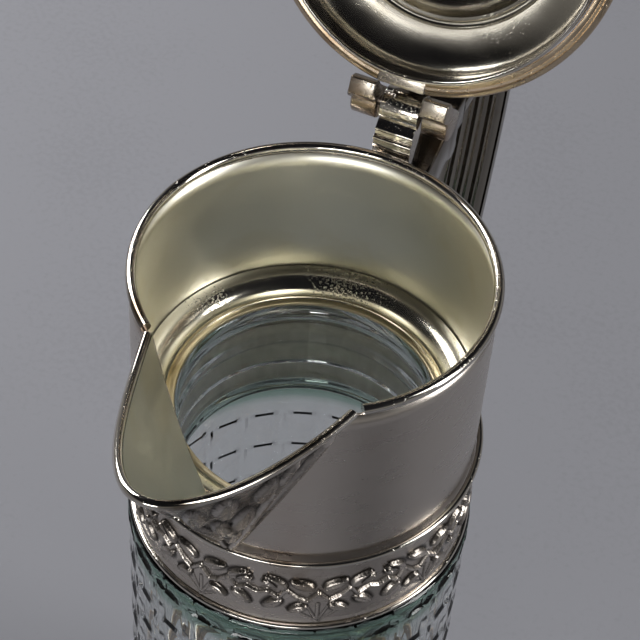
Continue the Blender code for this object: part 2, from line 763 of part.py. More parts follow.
def handle_bracket():
    """Plain bracket between the collar and the reeded handle, lobed below."""
    top = arm_top_z()
    end = bracket_end()
    start = COLLAR_INNER
    low = top - HANDLE_THICKNESS
    foot = top - BRACKET_TALL
    root = min(top, RIM_HEIGHT - STRAP_FOOT_DROP - GAP)
    strap_back = PIN_Y + KNUCKLE_RADIUS / 2
    crest = end - 2 * LOBE_RADIUS
    middle = ((strap_back + crest) / 2, root + (top - root) / 2.5)
    outline = [(start, root), (strap_back, root), middle, (crest, top)]
    outline += [(end, top), (end, low), (end - LOBE_RADIUS, low)]
    lobe = (crest, low - 1.2 * LOBE_RADIUS)
    outline += arc(lobe, LOBE_RADIUS, 30, -150, 6)
    sweep_start = outline[-1]
    sweep_end = (start + LOBE_RADIUS * 2, foot)
    for i in range(1, 7):
        share = i / 6
        y = sweep_start[0] + (sweep_end[0] - sweep_start[0]) * share
        z = sweep_start[1] + (sweep_end[1] - sweep_start[1]) * share ** 1.8
        outline.append((y, z))
    outline.append((start, foot))
    bracket = plate("handle_bracket", outline, HANDLE_WIDTH)
    seat = rod("bracket_seat", COLLAR_OUTER + GAP, 4 * BRACKET_TALL, (0.0, 0.0, foot),
               sides=4 * STEPS)
    combine(bracket, seat)
    return finish(bracket, "silver_plate")


def handle_path():
    """Ends and widest place of the handle's centreline, each with its tangents, in (y, z)."""
    start = (bracket_end() + GAP, arm_top_z() - HANDLE_THICKNESS / 2)
    peak = (RIM_RADIUS + HANDLE_REACH - HANDLE_THICKNESS / 2, RIM_HEIGHT - HANDLE_PEAK_DROP)
    pad = (pad_end() + GAP, BODY_BAND_Z)
    over = HANDLE_OVER * (peak[0] - start[0])
    turn = HANDLE_TURN * (start[1] - peak[1])
    fall = HANDLE_FALL * (peak[1] - pad[1])
    back = HANDLE_BACK * (peak[0] - pad[0])
    return [
        (start, (start[0] - over, start[1]), (start[0] + over, start[1])),
        (peak, (peak[0], peak[1] + turn), (peak[0], peak[1] - fall)),
        (pad, (pad[0] + back, pad[1]), (pad[0] - back, pad[1])),
    ]


def reeded_outline():
    """Cross-section of the handle: broad faces ribbed, edges round."""
    half_w = HANDLE_WIDTH / 2
    half_t = HANDLE_THICKNESS / 2
    count = 2 * HANDLE_REEDS
    outline = []
    for side in (1, -1):
        for i in range(count + 1):
            share = -1 + 2 * i / count
            along = side * share * (half_w - REED_DEPTH) * 0.93
            crown = half_t * sqrt(1 - 0.72 * share * share)
            groove = REED_DEPTH if i % 2 == 0 else 0.0
            outline.append((along, side * (crown - groove)))
        outline.append((side * half_w, 0.0))
    return outline


def handle_grip():
    """Reeded handle swept along its path."""
    section = bpy.data.curves.new("reed_section", "CURVE")
    section.dimensions = "2D"
    ring = section.splines.new("POLY")
    outline = reeded_outline()
    ring.points.add(len(outline) - 1)
    for point, (a, b) in zip(ring.points, outline):
        point.co = (a, b, 0.0, 1.0)
    ring.use_cyclic_u = True
    section_obj = as_cutter(link_curve("reed_section", section))
    path = bpy.data.curves.new("handle_grip", "CURVE")
    path.dimensions = "3D"
    path.resolution_u = 9
    path.bevel_mode = "OBJECT"
    path.bevel_object = section_obj
    path.use_fill_caps = True
    path.twist_mode = "MINIMUM"
    spline = path.splines.new("BEZIER")
    places = handle_path()
    spline.bezier_points.add(len(places) - 1)
    for point, (place, before, after) in zip(spline.bezier_points, places):
        point.handle_left_type = "FREE"
        point.handle_right_type = "FREE"
        point.co = (0.0, *place)
        point.handle_left = (0.0, *before)
        point.handle_right = (0.0, *after)
    grip = meshed(link_curve("handle_grip", path))
    return finish(grip, "silver_plate")


def link_curve(name, curve):
    obj = bpy.data.objects.new(name, curve)
    PARTS.objects.link(obj)
    return obj


def pad_end():
    return BODY_BAND_OUTER + PAD_LENGTH


def handle_lower_pad():
    """Pad soldered to the body band that takes the handle's lower end."""
    half = BODY_BAND_HEIGHT / 2
    thick = HANDLE_THICKNESS / 2
    start = BODY_BAND_INNER
    shoulder = BODY_BAND_OUTER + PAD_LENGTH / 3
    outline = [
        (start, BODY_BAND_Z + half), (start, BODY_BAND_Z - half),
        (shoulder, BODY_BAND_Z - half), (pad_end(), BODY_BAND_Z - thick),
        (pad_end(), BODY_BAND_Z + thick), (shoulder, BODY_BAND_Z + half)]
    pad = plate("handle_lower_pad", outline, HANDLE_WIDTH)
    seat = rod("pad_seat", BODY_BAND_OUTER + GAP, 4 * half, (0.0, 0.0, BODY_BAND_Z),
               sides=4 * STEPS)
    combine(pad, seat)
    return finish(pad, "silver_plate")


def body_band():
    """Plated band round the glass that holds the handle's lower end."""
    half = BODY_BAND_HEIGHT / 2
    roll = BODY_BAND_ROLL
    top = BODY_BAND_Z + half
    low = BODY_BAND_Z - half
    profile = [
        (BODY_BAND_OUTER - roll / 3, top), (BODY_BAND_OUTER, top - roll / 2),
        (BODY_BAND_OUTER, low + roll / 2), (BODY_BAND_OUTER - roll / 3, low),
        (BODY_BAND_INNER, low), (BODY_BAND_INNER, top)]
    return finish(turned("body_band", profile), "silver_plate")


def band_lining():
    """Cork strip between the glass and the body band."""
    half = BODY_BAND_HEIGHT / 2 - LINING_SET_BACK
    inner = GLASS_RADIUS + GAP
    outer = inner + LINING_THICKNESS
    profile = [
        (outer, BODY_BAND_Z + half), (outer, BODY_BAND_Z - half),
        (inner, BODY_BAND_Z - half), (inner, BODY_BAND_Z + half)]
    return finish(turned("band_lining", profile), "cork")


def build():
    glass_body()
    neck_cement()
    collar_wall()
    rim_wire()
    inner_ledge_ring()
    upper_fillet_wire()
    leaf_band()
    lower_fillet_wire()
    spout_shell()
    spout_lip_wire()
    hinge_strap()
    hinge_pin()
    lid_ear("lid_ear_left", -1)
    lid_ear("lid_ear_right", 1)
    lid_rim_flange()
    lid_hinge_plate()
    lid_bezel_ring()
    lid_dome()
    finial()
    finial_washer()
    finial_nut()
    thumbpiece()
    handle_bracket()
    handle_grip()
    handle_lower_pad()
    body_band()
    band_lining()


build()
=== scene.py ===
import json
from math import asin, cos, pi, radians, sin, sqrt

import bmesh
import bpy
import numpy as np
from mathutils import Matrix, Vector

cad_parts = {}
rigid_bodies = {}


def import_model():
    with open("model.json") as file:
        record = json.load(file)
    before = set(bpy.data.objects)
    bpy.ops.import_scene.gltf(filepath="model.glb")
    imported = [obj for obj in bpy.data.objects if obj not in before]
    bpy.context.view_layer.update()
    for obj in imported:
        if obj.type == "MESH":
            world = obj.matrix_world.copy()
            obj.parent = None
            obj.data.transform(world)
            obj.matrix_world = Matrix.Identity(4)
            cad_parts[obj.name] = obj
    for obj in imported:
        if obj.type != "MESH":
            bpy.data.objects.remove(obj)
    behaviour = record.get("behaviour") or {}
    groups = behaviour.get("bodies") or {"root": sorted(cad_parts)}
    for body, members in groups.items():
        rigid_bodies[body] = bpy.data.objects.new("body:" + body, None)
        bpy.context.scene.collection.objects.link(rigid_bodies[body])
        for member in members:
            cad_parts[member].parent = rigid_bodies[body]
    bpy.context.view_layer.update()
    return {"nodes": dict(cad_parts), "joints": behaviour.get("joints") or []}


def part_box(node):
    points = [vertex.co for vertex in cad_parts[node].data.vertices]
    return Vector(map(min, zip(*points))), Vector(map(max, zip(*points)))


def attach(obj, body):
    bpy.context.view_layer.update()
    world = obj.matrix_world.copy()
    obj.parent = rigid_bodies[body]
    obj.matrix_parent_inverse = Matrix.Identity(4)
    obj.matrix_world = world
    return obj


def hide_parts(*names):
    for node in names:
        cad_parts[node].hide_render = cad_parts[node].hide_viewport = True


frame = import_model()
hinge = frame["joints"][0]
pinPlace = Vector(hinge["pos_m"])
openAngle = radians(hinge["range_deg"][1])
gap = 0.0003                                     # between pieces that touch
mm = 0.001
openLid = (Matrix.Translation(pinPlace) @ Matrix.Rotation(-openAngle, 4, "X")
           @ Matrix.Translation(-pinPlace))


# Setting: camera, lights and the paper sweep the pitcher stands on

setting = {
    "cameraPlace": (0.10723, -0.27221, 0.54733),
    "cameraTurn": (42.678, -2.989, 24.388),      # degrees
    "lens": 106.7,
    "floorColour": (0.205, 0.206, 0.224),
    "skyLow": (0.34, 0.33, 0.32),                # what polished metal sees level with it
    "skyHigh": (0.012, 0.012, 0.014),            # and overhead
    "skyStrength": 0.8,
    "lights": [                                  # place, target height, width, length, watts
        ("keySoftbox", (-0.90, 0.45, 1.00), 0.20, 0.60, 0.80, 22.0),
        ("rightSoftbox", (1.00, 0.15, 0.70), 0.20, 0.30, 0.90, 6.5),
        ("frontSoftbox", (0.15, -1.20, 0.55), 0.18, 0.80, 0.25, 5.0),
    ],
}


def aimAt(place, target):
    return (Vector(target) - Vector(place)).to_track_quat("-Z", "Y").to_euler()


def buildSetting():
    scene = bpy.context.scene
    camera = bpy.data.objects.new("camera", bpy.data.cameras.new("camera"))
    camera.data.lens = setting["lens"]
    camera.data.sensor_width = 36.0
    camera.data.clip_start = 0.01
    camera.location = setting["cameraPlace"]
    camera.rotation_euler = [radians(a) for a in setting["cameraTurn"]]
    scene.collection.objects.link(camera)
    scene.camera = camera
    for name, place, height, width, length, watts in setting["lights"]:
        lamp = bpy.data.lights.new(name, "AREA")
        lamp.shape = "RECTANGLE"
        lamp.size = width
        lamp.size_y = length
        lamp.energy = watts
        light = bpy.data.objects.new(name, lamp)
        light.location = place
        light.rotation_euler = aimAt(place, (0.0, 0.0, height))
        scene.collection.objects.link(light)
    world = bpy.data.worlds.new("studio")
    scene.world = world
    world.use_nodes = True
    nodes, links = world.node_tree.nodes, world.node_tree.links
    background = nodes["Background"]
    background.inputs["Strength"].default_value = setting["skyStrength"]
    coords = nodes.new("ShaderNodeTexCoord")
    split = nodes.new("ShaderNodeSeparateXYZ")
    ramp = nodes.new("ShaderNodeValToRGB")
    ramp.color_ramp.elements[0].position = 0.0
    ramp.color_ramp.elements[0].color = (*setting["skyLow"], 1)
    ramp.color_ramp.elements[1].position = 0.55
    ramp.color_ramp.elements[1].color = (*setting["skyHigh"], 1)
    links.new(coords.outputs["Generated"], split.inputs[0])
    links.new(split.outputs["Z"], ramp.inputs[0])
    links.new(ramp.outputs[0], background.inputs["Color"])
    scene.view_settings.view_transform = "Standard"
    bm = bmesh.new()
    bmesh.ops.create_grid(bm, x_segments=2, y_segments=2, size=4.0)
    mesh = bpy.data.meshes.new("floor")
    bm.to_mesh(mesh)
    bm.free()
    floor = bpy.data.objects.new("floor", mesh)
    scene.collection.objects.link(floor)
    paper = newMaterial("greyPaper")
    shader = paper.shader
    shader.inputs["Roughness"].default_value = 0.85
    shader.inputs["Specular IOR Level"].default_value = 0.25
    fibres = paper.noise(420.0, detail=4)
    clouds = paper.noise(9.0, detail=2)
    blend = paper.maths("ADD", fibres, clouds)
    tone = paper.ramp(blend, [(0.75, [c * 0.97 for c in setting["floorColour"]]),
                              (1.0, [c * 1.04 for c in setting["floorColour"]])])
    paper.link(tone, shader.inputs["Base Color"])
    paper.bump(fibres, 0.08, 0.0002)
    mesh.materials.append(paper.material)
    print("setting: %d lights" % len(setting["lights"]))


# Materials

class newMaterial:
    # a node material with short calls for the textures that the finishes share
    def __init__(self, name):
        self.material = bpy.data.materials.new(name)
        self.material.use_nodes = True
        self.nodes = self.material.node_tree.nodes
        self.shader = self.nodes["Principled BSDF"]
        self.coords = self.nodes.new("ShaderNodeTexCoord")
        self.bumps = []

    def link(self, a, b):
        self.material.node_tree.links.new(a, b)

    def place(self, scale=(1, 1, 1)):
        mapping = self.nodes.new("ShaderNodeMapping")
        mapping.inputs["Scale"].default_value = scale
        self.link(self.coords.outputs["Object"], mapping.inputs["Vector"])
        return mapping.outputs["Vector"]

    def noise(self, scale, detail=3.0, stretch=(1, 1, 1), distortion=0.0):
        node = self.nodes.new("ShaderNodeTexNoise")
        node.inputs["Scale"].default_value = scale
        node.inputs["Detail"].default_value = detail
        node.inputs["Distortion"].default_value = distortion
        self.link(self.place(stretch), node.inputs["Vector"])
        return node.outputs["Fac"]

    def height(self):
        split = self.nodes.new("ShaderNodeSeparateXYZ")
        self.link(self.coords.outputs["Object"], split.inputs[0])
        return split.outputs["Z"]

    def attribute(self, name):
        node = self.nodes.new("ShaderNodeAttribute")
        node.attribute_name = name
        return node.outputs["Fac"]

    def maths(self, operation, a, b):
        node = self.nodes.new("ShaderNodeMath")
        node.operation = operation
        for socket, value in zip(node.inputs, (a, b)):
            if isinstance(value, (int, float)):
                socket.default_value = value
            else:
                self.link(value, socket)
        return node.outputs[0]

    def span(self, value, low, high, toLow=0.0, toHigh=1.0):
        node = self.nodes.new("ShaderNodeMapRange")
        self.link(value, node.inputs["Value"])
        for name, number in zip(("From Min", "From Max", "To Min", "To Max"),
                                (low, high, toLow, toHigh)):
            node.inputs[name].default_value = number
        return node.outputs["Result"]

    def ramp(self, value, stops):
        node = self.nodes.new("ShaderNodeValToRGB")
        elements = node.color_ramp.elements
        while len(elements) < len(stops):
            elements.new(0.5)
        for element, (position, colour) in zip(elements, stops):
            element.position = min(position, 1.0)
            element.color = (*colour, 1)
        self.link(value, node.inputs[0])
        return node.outputs[0]

    def mix(self, amount, a, b):
        node = self.nodes.new("ShaderNodeMix")
        node.data_type = "RGBA"
        for socket, value in zip((node.inputs[0], node.inputs[6], node.inputs[7]), (amount, a, b)):
            if isinstance(value, (int, float)):
                socket.default_value = value
            elif isinstance(value, (tuple, list)):
                socket.default_value = (*value, 1)
            else:
                self.link(value, socket)
        return node.outputs[2]

    def bump(self, value, strength, distance):
        node = self.nodes.new("ShaderNodeBump")
        node.inputs["Strength"].default_value = strength
        node.inputs["Distance"].default_value = distance
        self.link(value, node.inputs["Height"])
        if self.bumps:
            self.link(self.bumps[-1], node.inputs["Normal"])
        self.bumps.append(node.outputs["Normal"])
        self.link(node.outputs["Normal"], self.shader.inputs["Normal"])


# One entry for each metal finish: plate colour, the stain that grows on it, how matt it is
metals = {
    "polishedPlate": {"colour": (0.565, 0.515, 0.465), "stain": (0.54, 0.47, 0.42),
                      "stainFrom": 0.56, "rough": (0.25, 0.32), "scratch": 0.006,
                      "grain": 0.0, "pits": 0.0},
    "satinInside": {"colour": (0.88, 0.855, 0.74), "stain": (0.82, 0.77, 0.60),
                    "stainFrom": 0.52, "rough": (0.34, 0.40), "scratch": 0.006,
                    "grain": 0.02, "pits": 0.0},
    "blackenedBead": {"colour": (0.84, 0.80, 0.68), "stain": (0.30, 0.24, 0.15),
                      "stainFrom": 0.62, "rough": (0.12, 0.22), "scratch": 0.01,
                      "grain": 0.02, "pits": 0.8},
    "brassyLedge": {"colour": (0.66, 0.57, 0.39), "stain": (0.46, 0.37, 0.20),
                    "stainFrom": 0.55, "rough": (0.34, 0.46), "scratch": 0.02,
                    "grain": 0.05, "pits": 0.3},
    "rimPlate": {"colour": (0.70, 0.66, 0.60), "stain": (0.16, 0.12, 0.085),
                 "stainFrom": 0.56, "rough": (0.06, 0.14), "scratch": 0.01,
                 "grain": 0.0, "pits": 0.35},
    "wornGilt": {"colour": (0.62, 0.50, 0.36), "stain": (0.40, 0.27, 0.16),
                 "stainFrom": 0.50, "rough": (0.18, 0.30), "scratch": 0.02,
                 "grain": 0.02, "pits": 0.35},
    "lidInside": {"colour": (0.58, 0.545, 0.465), "stain": (0.38, 0.33, 0.24),
                  "stainFrom": 0.52, "rough": (0.16, 0.26), "scratch": 0.01,
                  "grain": 0.02, "pits": 0.25},
    "hingePlate": {"colour": (0.50, 0.45, 0.38), "stain": (0.30, 0.21, 0.14),
                   "stainFrom": 0.46, "rough": (0.18, 0.34), "scratch": 0.02,
                   "grain": 0.02, "pits": 0.35},
    # handle, bracket and thumbpiece: a dark base colour that stands in for the dark reflections
    # they show, a painted reflection; the stain and pits on it are tarnish
    "handlePaintedDarkReflection": {"colour": (0.24, 0.22, 0.19), "stain": (0.10, 0.075, 0.05),
                    "stainFrom": 0.5, "rough": (0.08, 0.20), "scratch": 0.02,
                    "grain": 0.0, "pits": 0.1},
    "darkPin": {"colour": (0.34, 0.31, 0.29), "stain": (0.12, 0.10, 0.09),
                "stainFrom": 0.5, "rough": (0.22, 0.40), "scratch": 0.03,
                "grain": 0.05, "pits": 0.3},
    "leafPlate": {"colour": (0.60, 0.545, 0.49), "stain": (0.42, 0.36, 0.30),
                  "stainFrom": 0.55, "rough": (0.20, 0.32), "scratch": 0.01,
                  "grain": 0.22, "pits": 0.2},
}
finishes = {}


def buildMetal(name, look):
    metal = newMaterial(name)
    shader = metal.shader
    shader.inputs["Metallic"].default_value = 1.0
    clouds = metal.noise(38.0, detail=5, distortion=0.4)
    start = look["stainFrom"]
    stained = metal.span(clouds, start, start + 0.16)
    colour = metal.mix(stained, look["colour"], look["stain"])
    if look["pits"]:
        specks = metal.noise(1500.0, detail=2)
        patches = metal.noise(60.0, detail=3)
        where = metal.maths("ADD", specks, metal.maths("MULTIPLY", patches, 0.8))
        pitted = metal.span(where, 1.12 - 0.08 * look["pits"], 1.18, 0.0, look["pits"])
        colour = metal.mix(pitted, colour, [c * 0.16 for c in look["stain"]])
        metal.bump(metal.maths("MULTIPLY", pitted, -1.0), 0.5, 0.0002)
    # leaf relief only: near-black painted shade along the edges of leaves and stems
    if look["grain"] > 0.1:
        paintedEdgeShade = metal.span(metal.attribute("paintedEdgeShade"), 0.0, 1.0)
        colour = metal.mix(paintedEdgeShade, colour, (0.03, 0.024, 0.019))
    metal.link(colour, shader.inputs["Base Color"])
    wipe = metal.noise(75.0, detail=4, stretch=(1, 1, 3))
    low, high = look["rough"]
    metal.link(metal.span(wipe, 0.3, 0.7, low, high), shader.inputs["Roughness"])
    lines = metal.noise(260.0, detail=2, stretch=(1, 1, 14))
    metal.bump(lines, look["scratch"], 0.0001)
    if look["grain"]:
        grains = metal.noise(1900.0, detail=2)
        metal.bump(grains, look["grain"], 0.0003)
    finishes[name] = metal.material


def buildGlass():
    glass = newMaterial("pressedGlass")
    shader = glass.shader
    shader.inputs["Transmission Weight"].default_value = 1.0
    shader.inputs["IOR"].default_value = 1.5
    high = glass.span(glass.height(), 0.150, 0.174)
    tint = glass.ramp(high, [(0.0, (0.95, 0.98, 0.97)), (0.26, (0.88, 0.94, 0.91)),
                             (0.38, (0.30, 0.47, 0.38)), (0.72, (0.26, 0.42, 0.34)),
                             (0.84, (0.95, 0.97, 0.96))])
    glass.link(tint, shader.inputs["Base Color"])
    seeds = glass.noise(55.0, detail=2)
    glass.link(glass.span(seeds, 0.35, 0.75, 0.0, 0.06), shader.inputs["Roughness"])
    glass.bump(glass.noise(120.0, detail=1), 0.04, 0.0006)
    finishes["pressedGlass"] = glass.material


def buildPlain(name, colours, scale, roughness):
    # a matt material that wanders between two colours
    plain = newMaterial(name)
    speckle = plain.noise(scale, detail=5)
    plain.link(plain.ramp(speckle, [(0.35, colours[0]), (0.65, colours[1])]),
               plain.shader.inputs["Base Color"])
    plain.shader.inputs["Roughness"].default_value = roughness
    plain.bump(speckle, 0.3, 0.0004)
    finishes[name] = plain.material


# Mesh helpers

def arc(centre, radius, start, end, count):
    points = []
    for i in range(count + 1):
        angle = radians(start + (end - start) * i / count)
        points.append((centre[0] + radius * cos(angle), centre[1] + radius * sin(angle)))
    return points


def addPiece(name, bm, body, materials, replaces=(), bend=32, lid=False):
    mesh = bpy.data.meshes.new(name)
    bm.to_mesh(mesh)
    bm.free()
    return addMesh(name, mesh, body, materials, replaces, bend, lid)


def addMesh(name, mesh, body, materials, replaces=(), bend=32, lid=False):
    if lid:
        mesh.transform(openLid)
    for material in materials:
        mesh.materials.append(finishes[material])
    mesh.shade_smooth()
    mesh.set_sharp_from_angle(angle=radians(bend))
    obj = bpy.data.objects.new(name, mesh)
    bpy.context.scene.collection.objects.link(obj)
    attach(obj, body)
    if replaces:
        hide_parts(*replaces)
    return obj


def spun(profile, steps, closed=True, start=0.0, sweep=360.0):
    # turns an (r, z) profile about Z
    bm = bmesh.new()
    first = radians(start)
    verts = [bm.verts.new((r * cos(first), r * sin(first), z)) for r, z in profile]
    edges = [bm.edges.new(pair) for pair in zip(verts, verts[1:])]
    if closed:
        edges.append(bm.edges.new((verts[-1], verts[0])))
    full = sweep >= 360.0
    bmesh.ops.spin(bm, geom=verts + edges, axis=(0, 0, 1), cent=(0, 0, 0), steps=steps,
                   angle=radians(sweep), use_merge=full)
    bmesh.ops.remove_doubles(bm, verts=bm.verts, dist=0.000002)
    if not full:
        bmesh.ops.holes_fill(bm, edges=[e for e in bm.edges if e.is_boundary], sides=0)
    bmesh.ops.recalc_face_normals(bm, faces=bm.faces)
    return bm


def slab(outline, low, high, bevel=0.0, segments=3):
    # a (y, z) outline pulled out along X, with its edges rounded
    bm = bmesh.new()
    verts = [bm.verts.new((low, y, z)) for y, z in outline]
    face = bm.faces.new(verts)
    pulled = bmesh.ops.extrude_face_region(bm, geom=[face])["geom"]
    moved = [v for v in pulled if isinstance(v, bmesh.types.BMVert)]
    bmesh.ops.translate(bm, vec=(high - low, 0, 0), verts=moved)
    bmesh.ops.recalc_face_normals(bm, faces=bm.faces)
    if bevel:
        edges = [e for e in bm.edges if e.calc_face_angle(0) > radians(30)]
        bmesh.ops.bevel(bm, geom=edges, offset=bevel, offset_type="OFFSET", segments=segments,
                        profile=0.5, affect="EDGES", material=-1, clamp_overlap=True)
    bmesh.ops.recalc_face_normals(bm, faces=bm.faces)
    return bm


def readPoints(mesh):
    points = np.empty(len(mesh.vertices) * 3)
    mesh.vertices.foreach_get("co", points)
    return points.reshape(-1, 3)


def writePoints(mesh, points):
    mesh.vertices.foreach_set("co", np.ascontiguousarray(points, dtype=np.float32).ravel())
    mesh.update()


# stores the mask of painted shade that darkens the relief's edges
def writePaintedEdgeShade(mesh, values):
    layer = mesh.attributes.new("paintedEdgeShade", "FLOAT", "POINT")
    layer.data.foreach_set("value", np.clip(values, 0.0, 1.0).astype(np.float32))


def leafHeight(u, v, leaf):
    # height of one veined leaf over a flat sheet, and how near its edge a place is, which sets the
    # painted shade at its edge
    u0, v0, angle, length, width, high = leaf
    a = radians(angle)
    along = ((u - u0) * cos(a) + (v - v0) * sin(a)) / length
    aside = -(u - u0) * sin(a) + (v - v0) * cos(a)
    inside = np.clip(along, 0.0, 1.0)
    half = np.maximum(width * np.sin(pi * inside ** 0.75) ** 0.8, 1e-6)
    within = (along > 0) & (along < 1)
    across = np.abs(aside) / half
    body = np.sqrt(np.clip(1.0 - across ** 2, 0.0, 1.0))
    vein = 0.35 * np.exp(-(aside / (0.16 * width)) ** 2)
    height = np.where(within & (across < 1.0), high * body * (1.0 - vein), 0.0)
    near = np.clip(1.0 - np.abs(np.abs(aside) - half - 0.0003) / 0.0010, 0.0, 1.0)
    near = np.where((along > -0.05) & (along < 1.05), near, 0.0)
    return height, near


def stemHeight(u, v, stem):
    # a round cord from one place to another
    u0, v0, u1, v1, width, high = stem
    length = sqrt((u1 - u0) ** 2 + (v1 - v0) ** 2)
    along = np.clip(((u - u0) * (u1 - u0) + (v - v0) * (v1 - v0)) / length ** 2, 0.0, 1.0)
    off = np.hypot(u - u0 - along * (u1 - u0), v - v0 - along * (v1 - v0)) / width
    near = np.clip(1.0 - np.abs(off - 1.2) / 0.5, 0.0, 1.0)
    return high * np.sqrt(np.clip(1.0 - off ** 2, 0.0, 1.0)), near


def reliefOf(u, v, leaves, stems):
    # the relief's height, and a mask of painted shade along the edges of leaves and stems
    height = np.zeros_like(u)
    paintedEdgeShade = np.zeros_like(u)
    for maker, items in ((leafHeight, leaves), (stemHeight, stems)):
        for item in items:
            h, near = maker(u, v, item)
            beside = np.maximum(paintedEdgeShade, np.where(h > 0, 0.0, near))
            paintedEdgeShade = np.where(h > height, near * 0.5, beside)
            height = np.maximum(height, h)
    return height, paintedEdgeShade


# Glass body: straight sides pressed with columns of scalloped blocks, a row of ovals
# at the shoulder, and a plain neck ringed where the plaster grips it

glassBody = {
    "columns": 24,
    "rowPitch": 0.0132,
    "blockDepth": 0.00085,
    "ovalDepth": 0.0013,
    "stepsPerColumn": 12,
    "stepsPerRow": 10,
    "neckThreads": 4,
    "threadDepth": 0.0006,
    "neck": 0.0369,
    "bore": 0.0307,
    "wall": 0.0042,
    "floor": 0.0090,                             # top of the solid bottom
    "heel": 0.0030,
    "ovalBand": 0.0065,                          # height of the row of ovals
}


def buildGlassBody():
    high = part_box("glass_body")[1]
    radius = high.x
    neckTop = high.z
    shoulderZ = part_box("lower_fillet_wire")[0].z - 0.0006
    neck, bore = glassBody["neck"], glassBody["bore"]
    floorZ = glassBody["floor"]
    heel = glassBody["heel"]
    rows = int((shoulderZ - 0.012) / glassBody["rowPitch"])
    patternTop = shoulderZ - glassBody["ovalBand"]
    patternLow = patternTop - rows * glassBody["rowPitch"]
    outside = []
    rings = 28
    for i in range(rings + 1):
        z = neckTop - 0.0012 - (neckTop - 0.0012 - shoulderZ) * i / rings
        wave = 0.0004 * cos(2 * pi * 4 * i / rings)
        outside.append((neck - 0.0004 + wave, z))
    outside += arc((radius - 0.0016, shoulderZ - 0.0016), 0.0016, 90, 0, 6)
    count = rows * glassBody["stepsPerRow"]
    edgeZ = shoulderZ - 0.0016
    for i in range(12):
        outside.append((radius, edgeZ - (edgeZ - patternTop) * (i + 1) / 12))
    for i in range(1, count + 1):
        outside.append((radius, patternTop - (patternTop - patternLow) * i / count))
    outside += arc((radius - heel, heel), heel, 0, -90, 6)
    outside.append((radius - 0.012, 0.0))
    outside.append((radius - 0.014, 0.0012))
    outside.append((0.0, 0.0018))
    inner = radius - glassBody["wall"]
    inside = [(0.0, floorZ)]
    inside += arc((inner - 0.0040, floorZ + 0.0040), 0.0040, -90, 0, 6)
    for i in range(1, 24):
        inside.append((inner, floorZ + 0.004 + (shoulderZ - 0.006 - floorZ - 0.004) * i / 23))
    for i in range(1, 9):
        turn = pi * i / 9
        inside.append((bore + (inner - bore) * (0.5 + 0.5 * cos(turn)),
                       shoulderZ - 0.006 + 0.010 * i / 9))
    threads = 40
    top = neckTop - 0.0040
    waves = 2 * pi * glassBody["neckThreads"]
    for i in range(threads + 1):
        z = shoulderZ + 0.004 + (top - shoulderZ - 0.004) * i / threads
        swell = glassBody["threadDepth"] * (0.5 - 0.5 * cos(waves * i / threads))
        inside.append((bore + swell, z))
    inside += arc((bore + 0.0026, neckTop - 0.0026), 0.0026, 170, 90, 5)
    inside += arc((neck - 0.0020, neckTop - 0.0012), 0.0012, 90, 10, 4)
    steps = glassBody["columns"] * glassBody["stepsPerColumn"]
    bm = spun(outside + inside, steps, closed=False)
    mesh = bpy.data.meshes.new("glassBody")
    bm.to_mesh(mesh)
    bm.free()
    points = readPoints(mesh)
    r = np.hypot(points[:, 0], points[:, 1])
    turn = np.arctan2(points[:, 1], points[:, 0])
    z = points[:, 2]
    column = turn / (2 * pi) * glassBody["columns"]
    a = column - np.floor(column) - 0.5
    onWall = r > radius - 0.0003
    row = (patternTop - z) / glassBody["rowPitch"]
    b = row - np.floor(row + 1e-6)
    block = (1 - 4 * a * a) * (0.25 + 0.75 * np.clip(b, 0, 1) ** 0.8)
    groove = 0.45 * np.exp(-((np.abs(a) - 0.5) / 0.05) ** 2)
    cut = np.where(onWall & (z < patternTop + 1e-5) & (z > patternLow),
                   glassBody["blockDepth"] * (block + groove), 0.0)
    middle = (patternTop + shoulderZ - 0.0012) / 2
    size = (shoulderZ - 0.0012 - patternTop) / 2
    oval = np.sqrt((a / 0.44) ** 2 + ((z - middle) / size) ** 2)
    dish = np.where(onWall & (z >= patternTop), np.clip(1.0 - oval ** 2, 0.0, 1.0) ** 0.5, 0.0)
    cut += glassBody["ovalDepth"] * dish
    scale = (r - cut) / np.maximum(r, 1e-9)
    points[:, 0] *= scale
    points[:, 1] *= scale
    writePoints(mesh, points)
    addMesh("glassBody", mesh, "jug", ["pressedGlass"], ["glass_body"], bend=20)
    print("glass body: %d rows of %d blocks" % (rows, glassBody["columns"]))


# Collar: plain wall with its V notch, rim wire, ledge, borders

collar = {
    "outer": 0.0413,
    "sheet": 0.0011,
    "rimRadius": 0.042,
    "rimWire": 0.0024,
    "notchAngle": 37.5,
    "notchDrop": 0.0546,
    "wireTrim": 0.0007,                          # taken off each end of the rim wire
    "steps": 192,
}
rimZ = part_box("rim_wire")[1].z
collarMiddle = collar["outer"] - collar["sheet"] / 2


def notchHalf(share):
    return collarMiddle * sin(radians(collar["notchAngle"])) * share


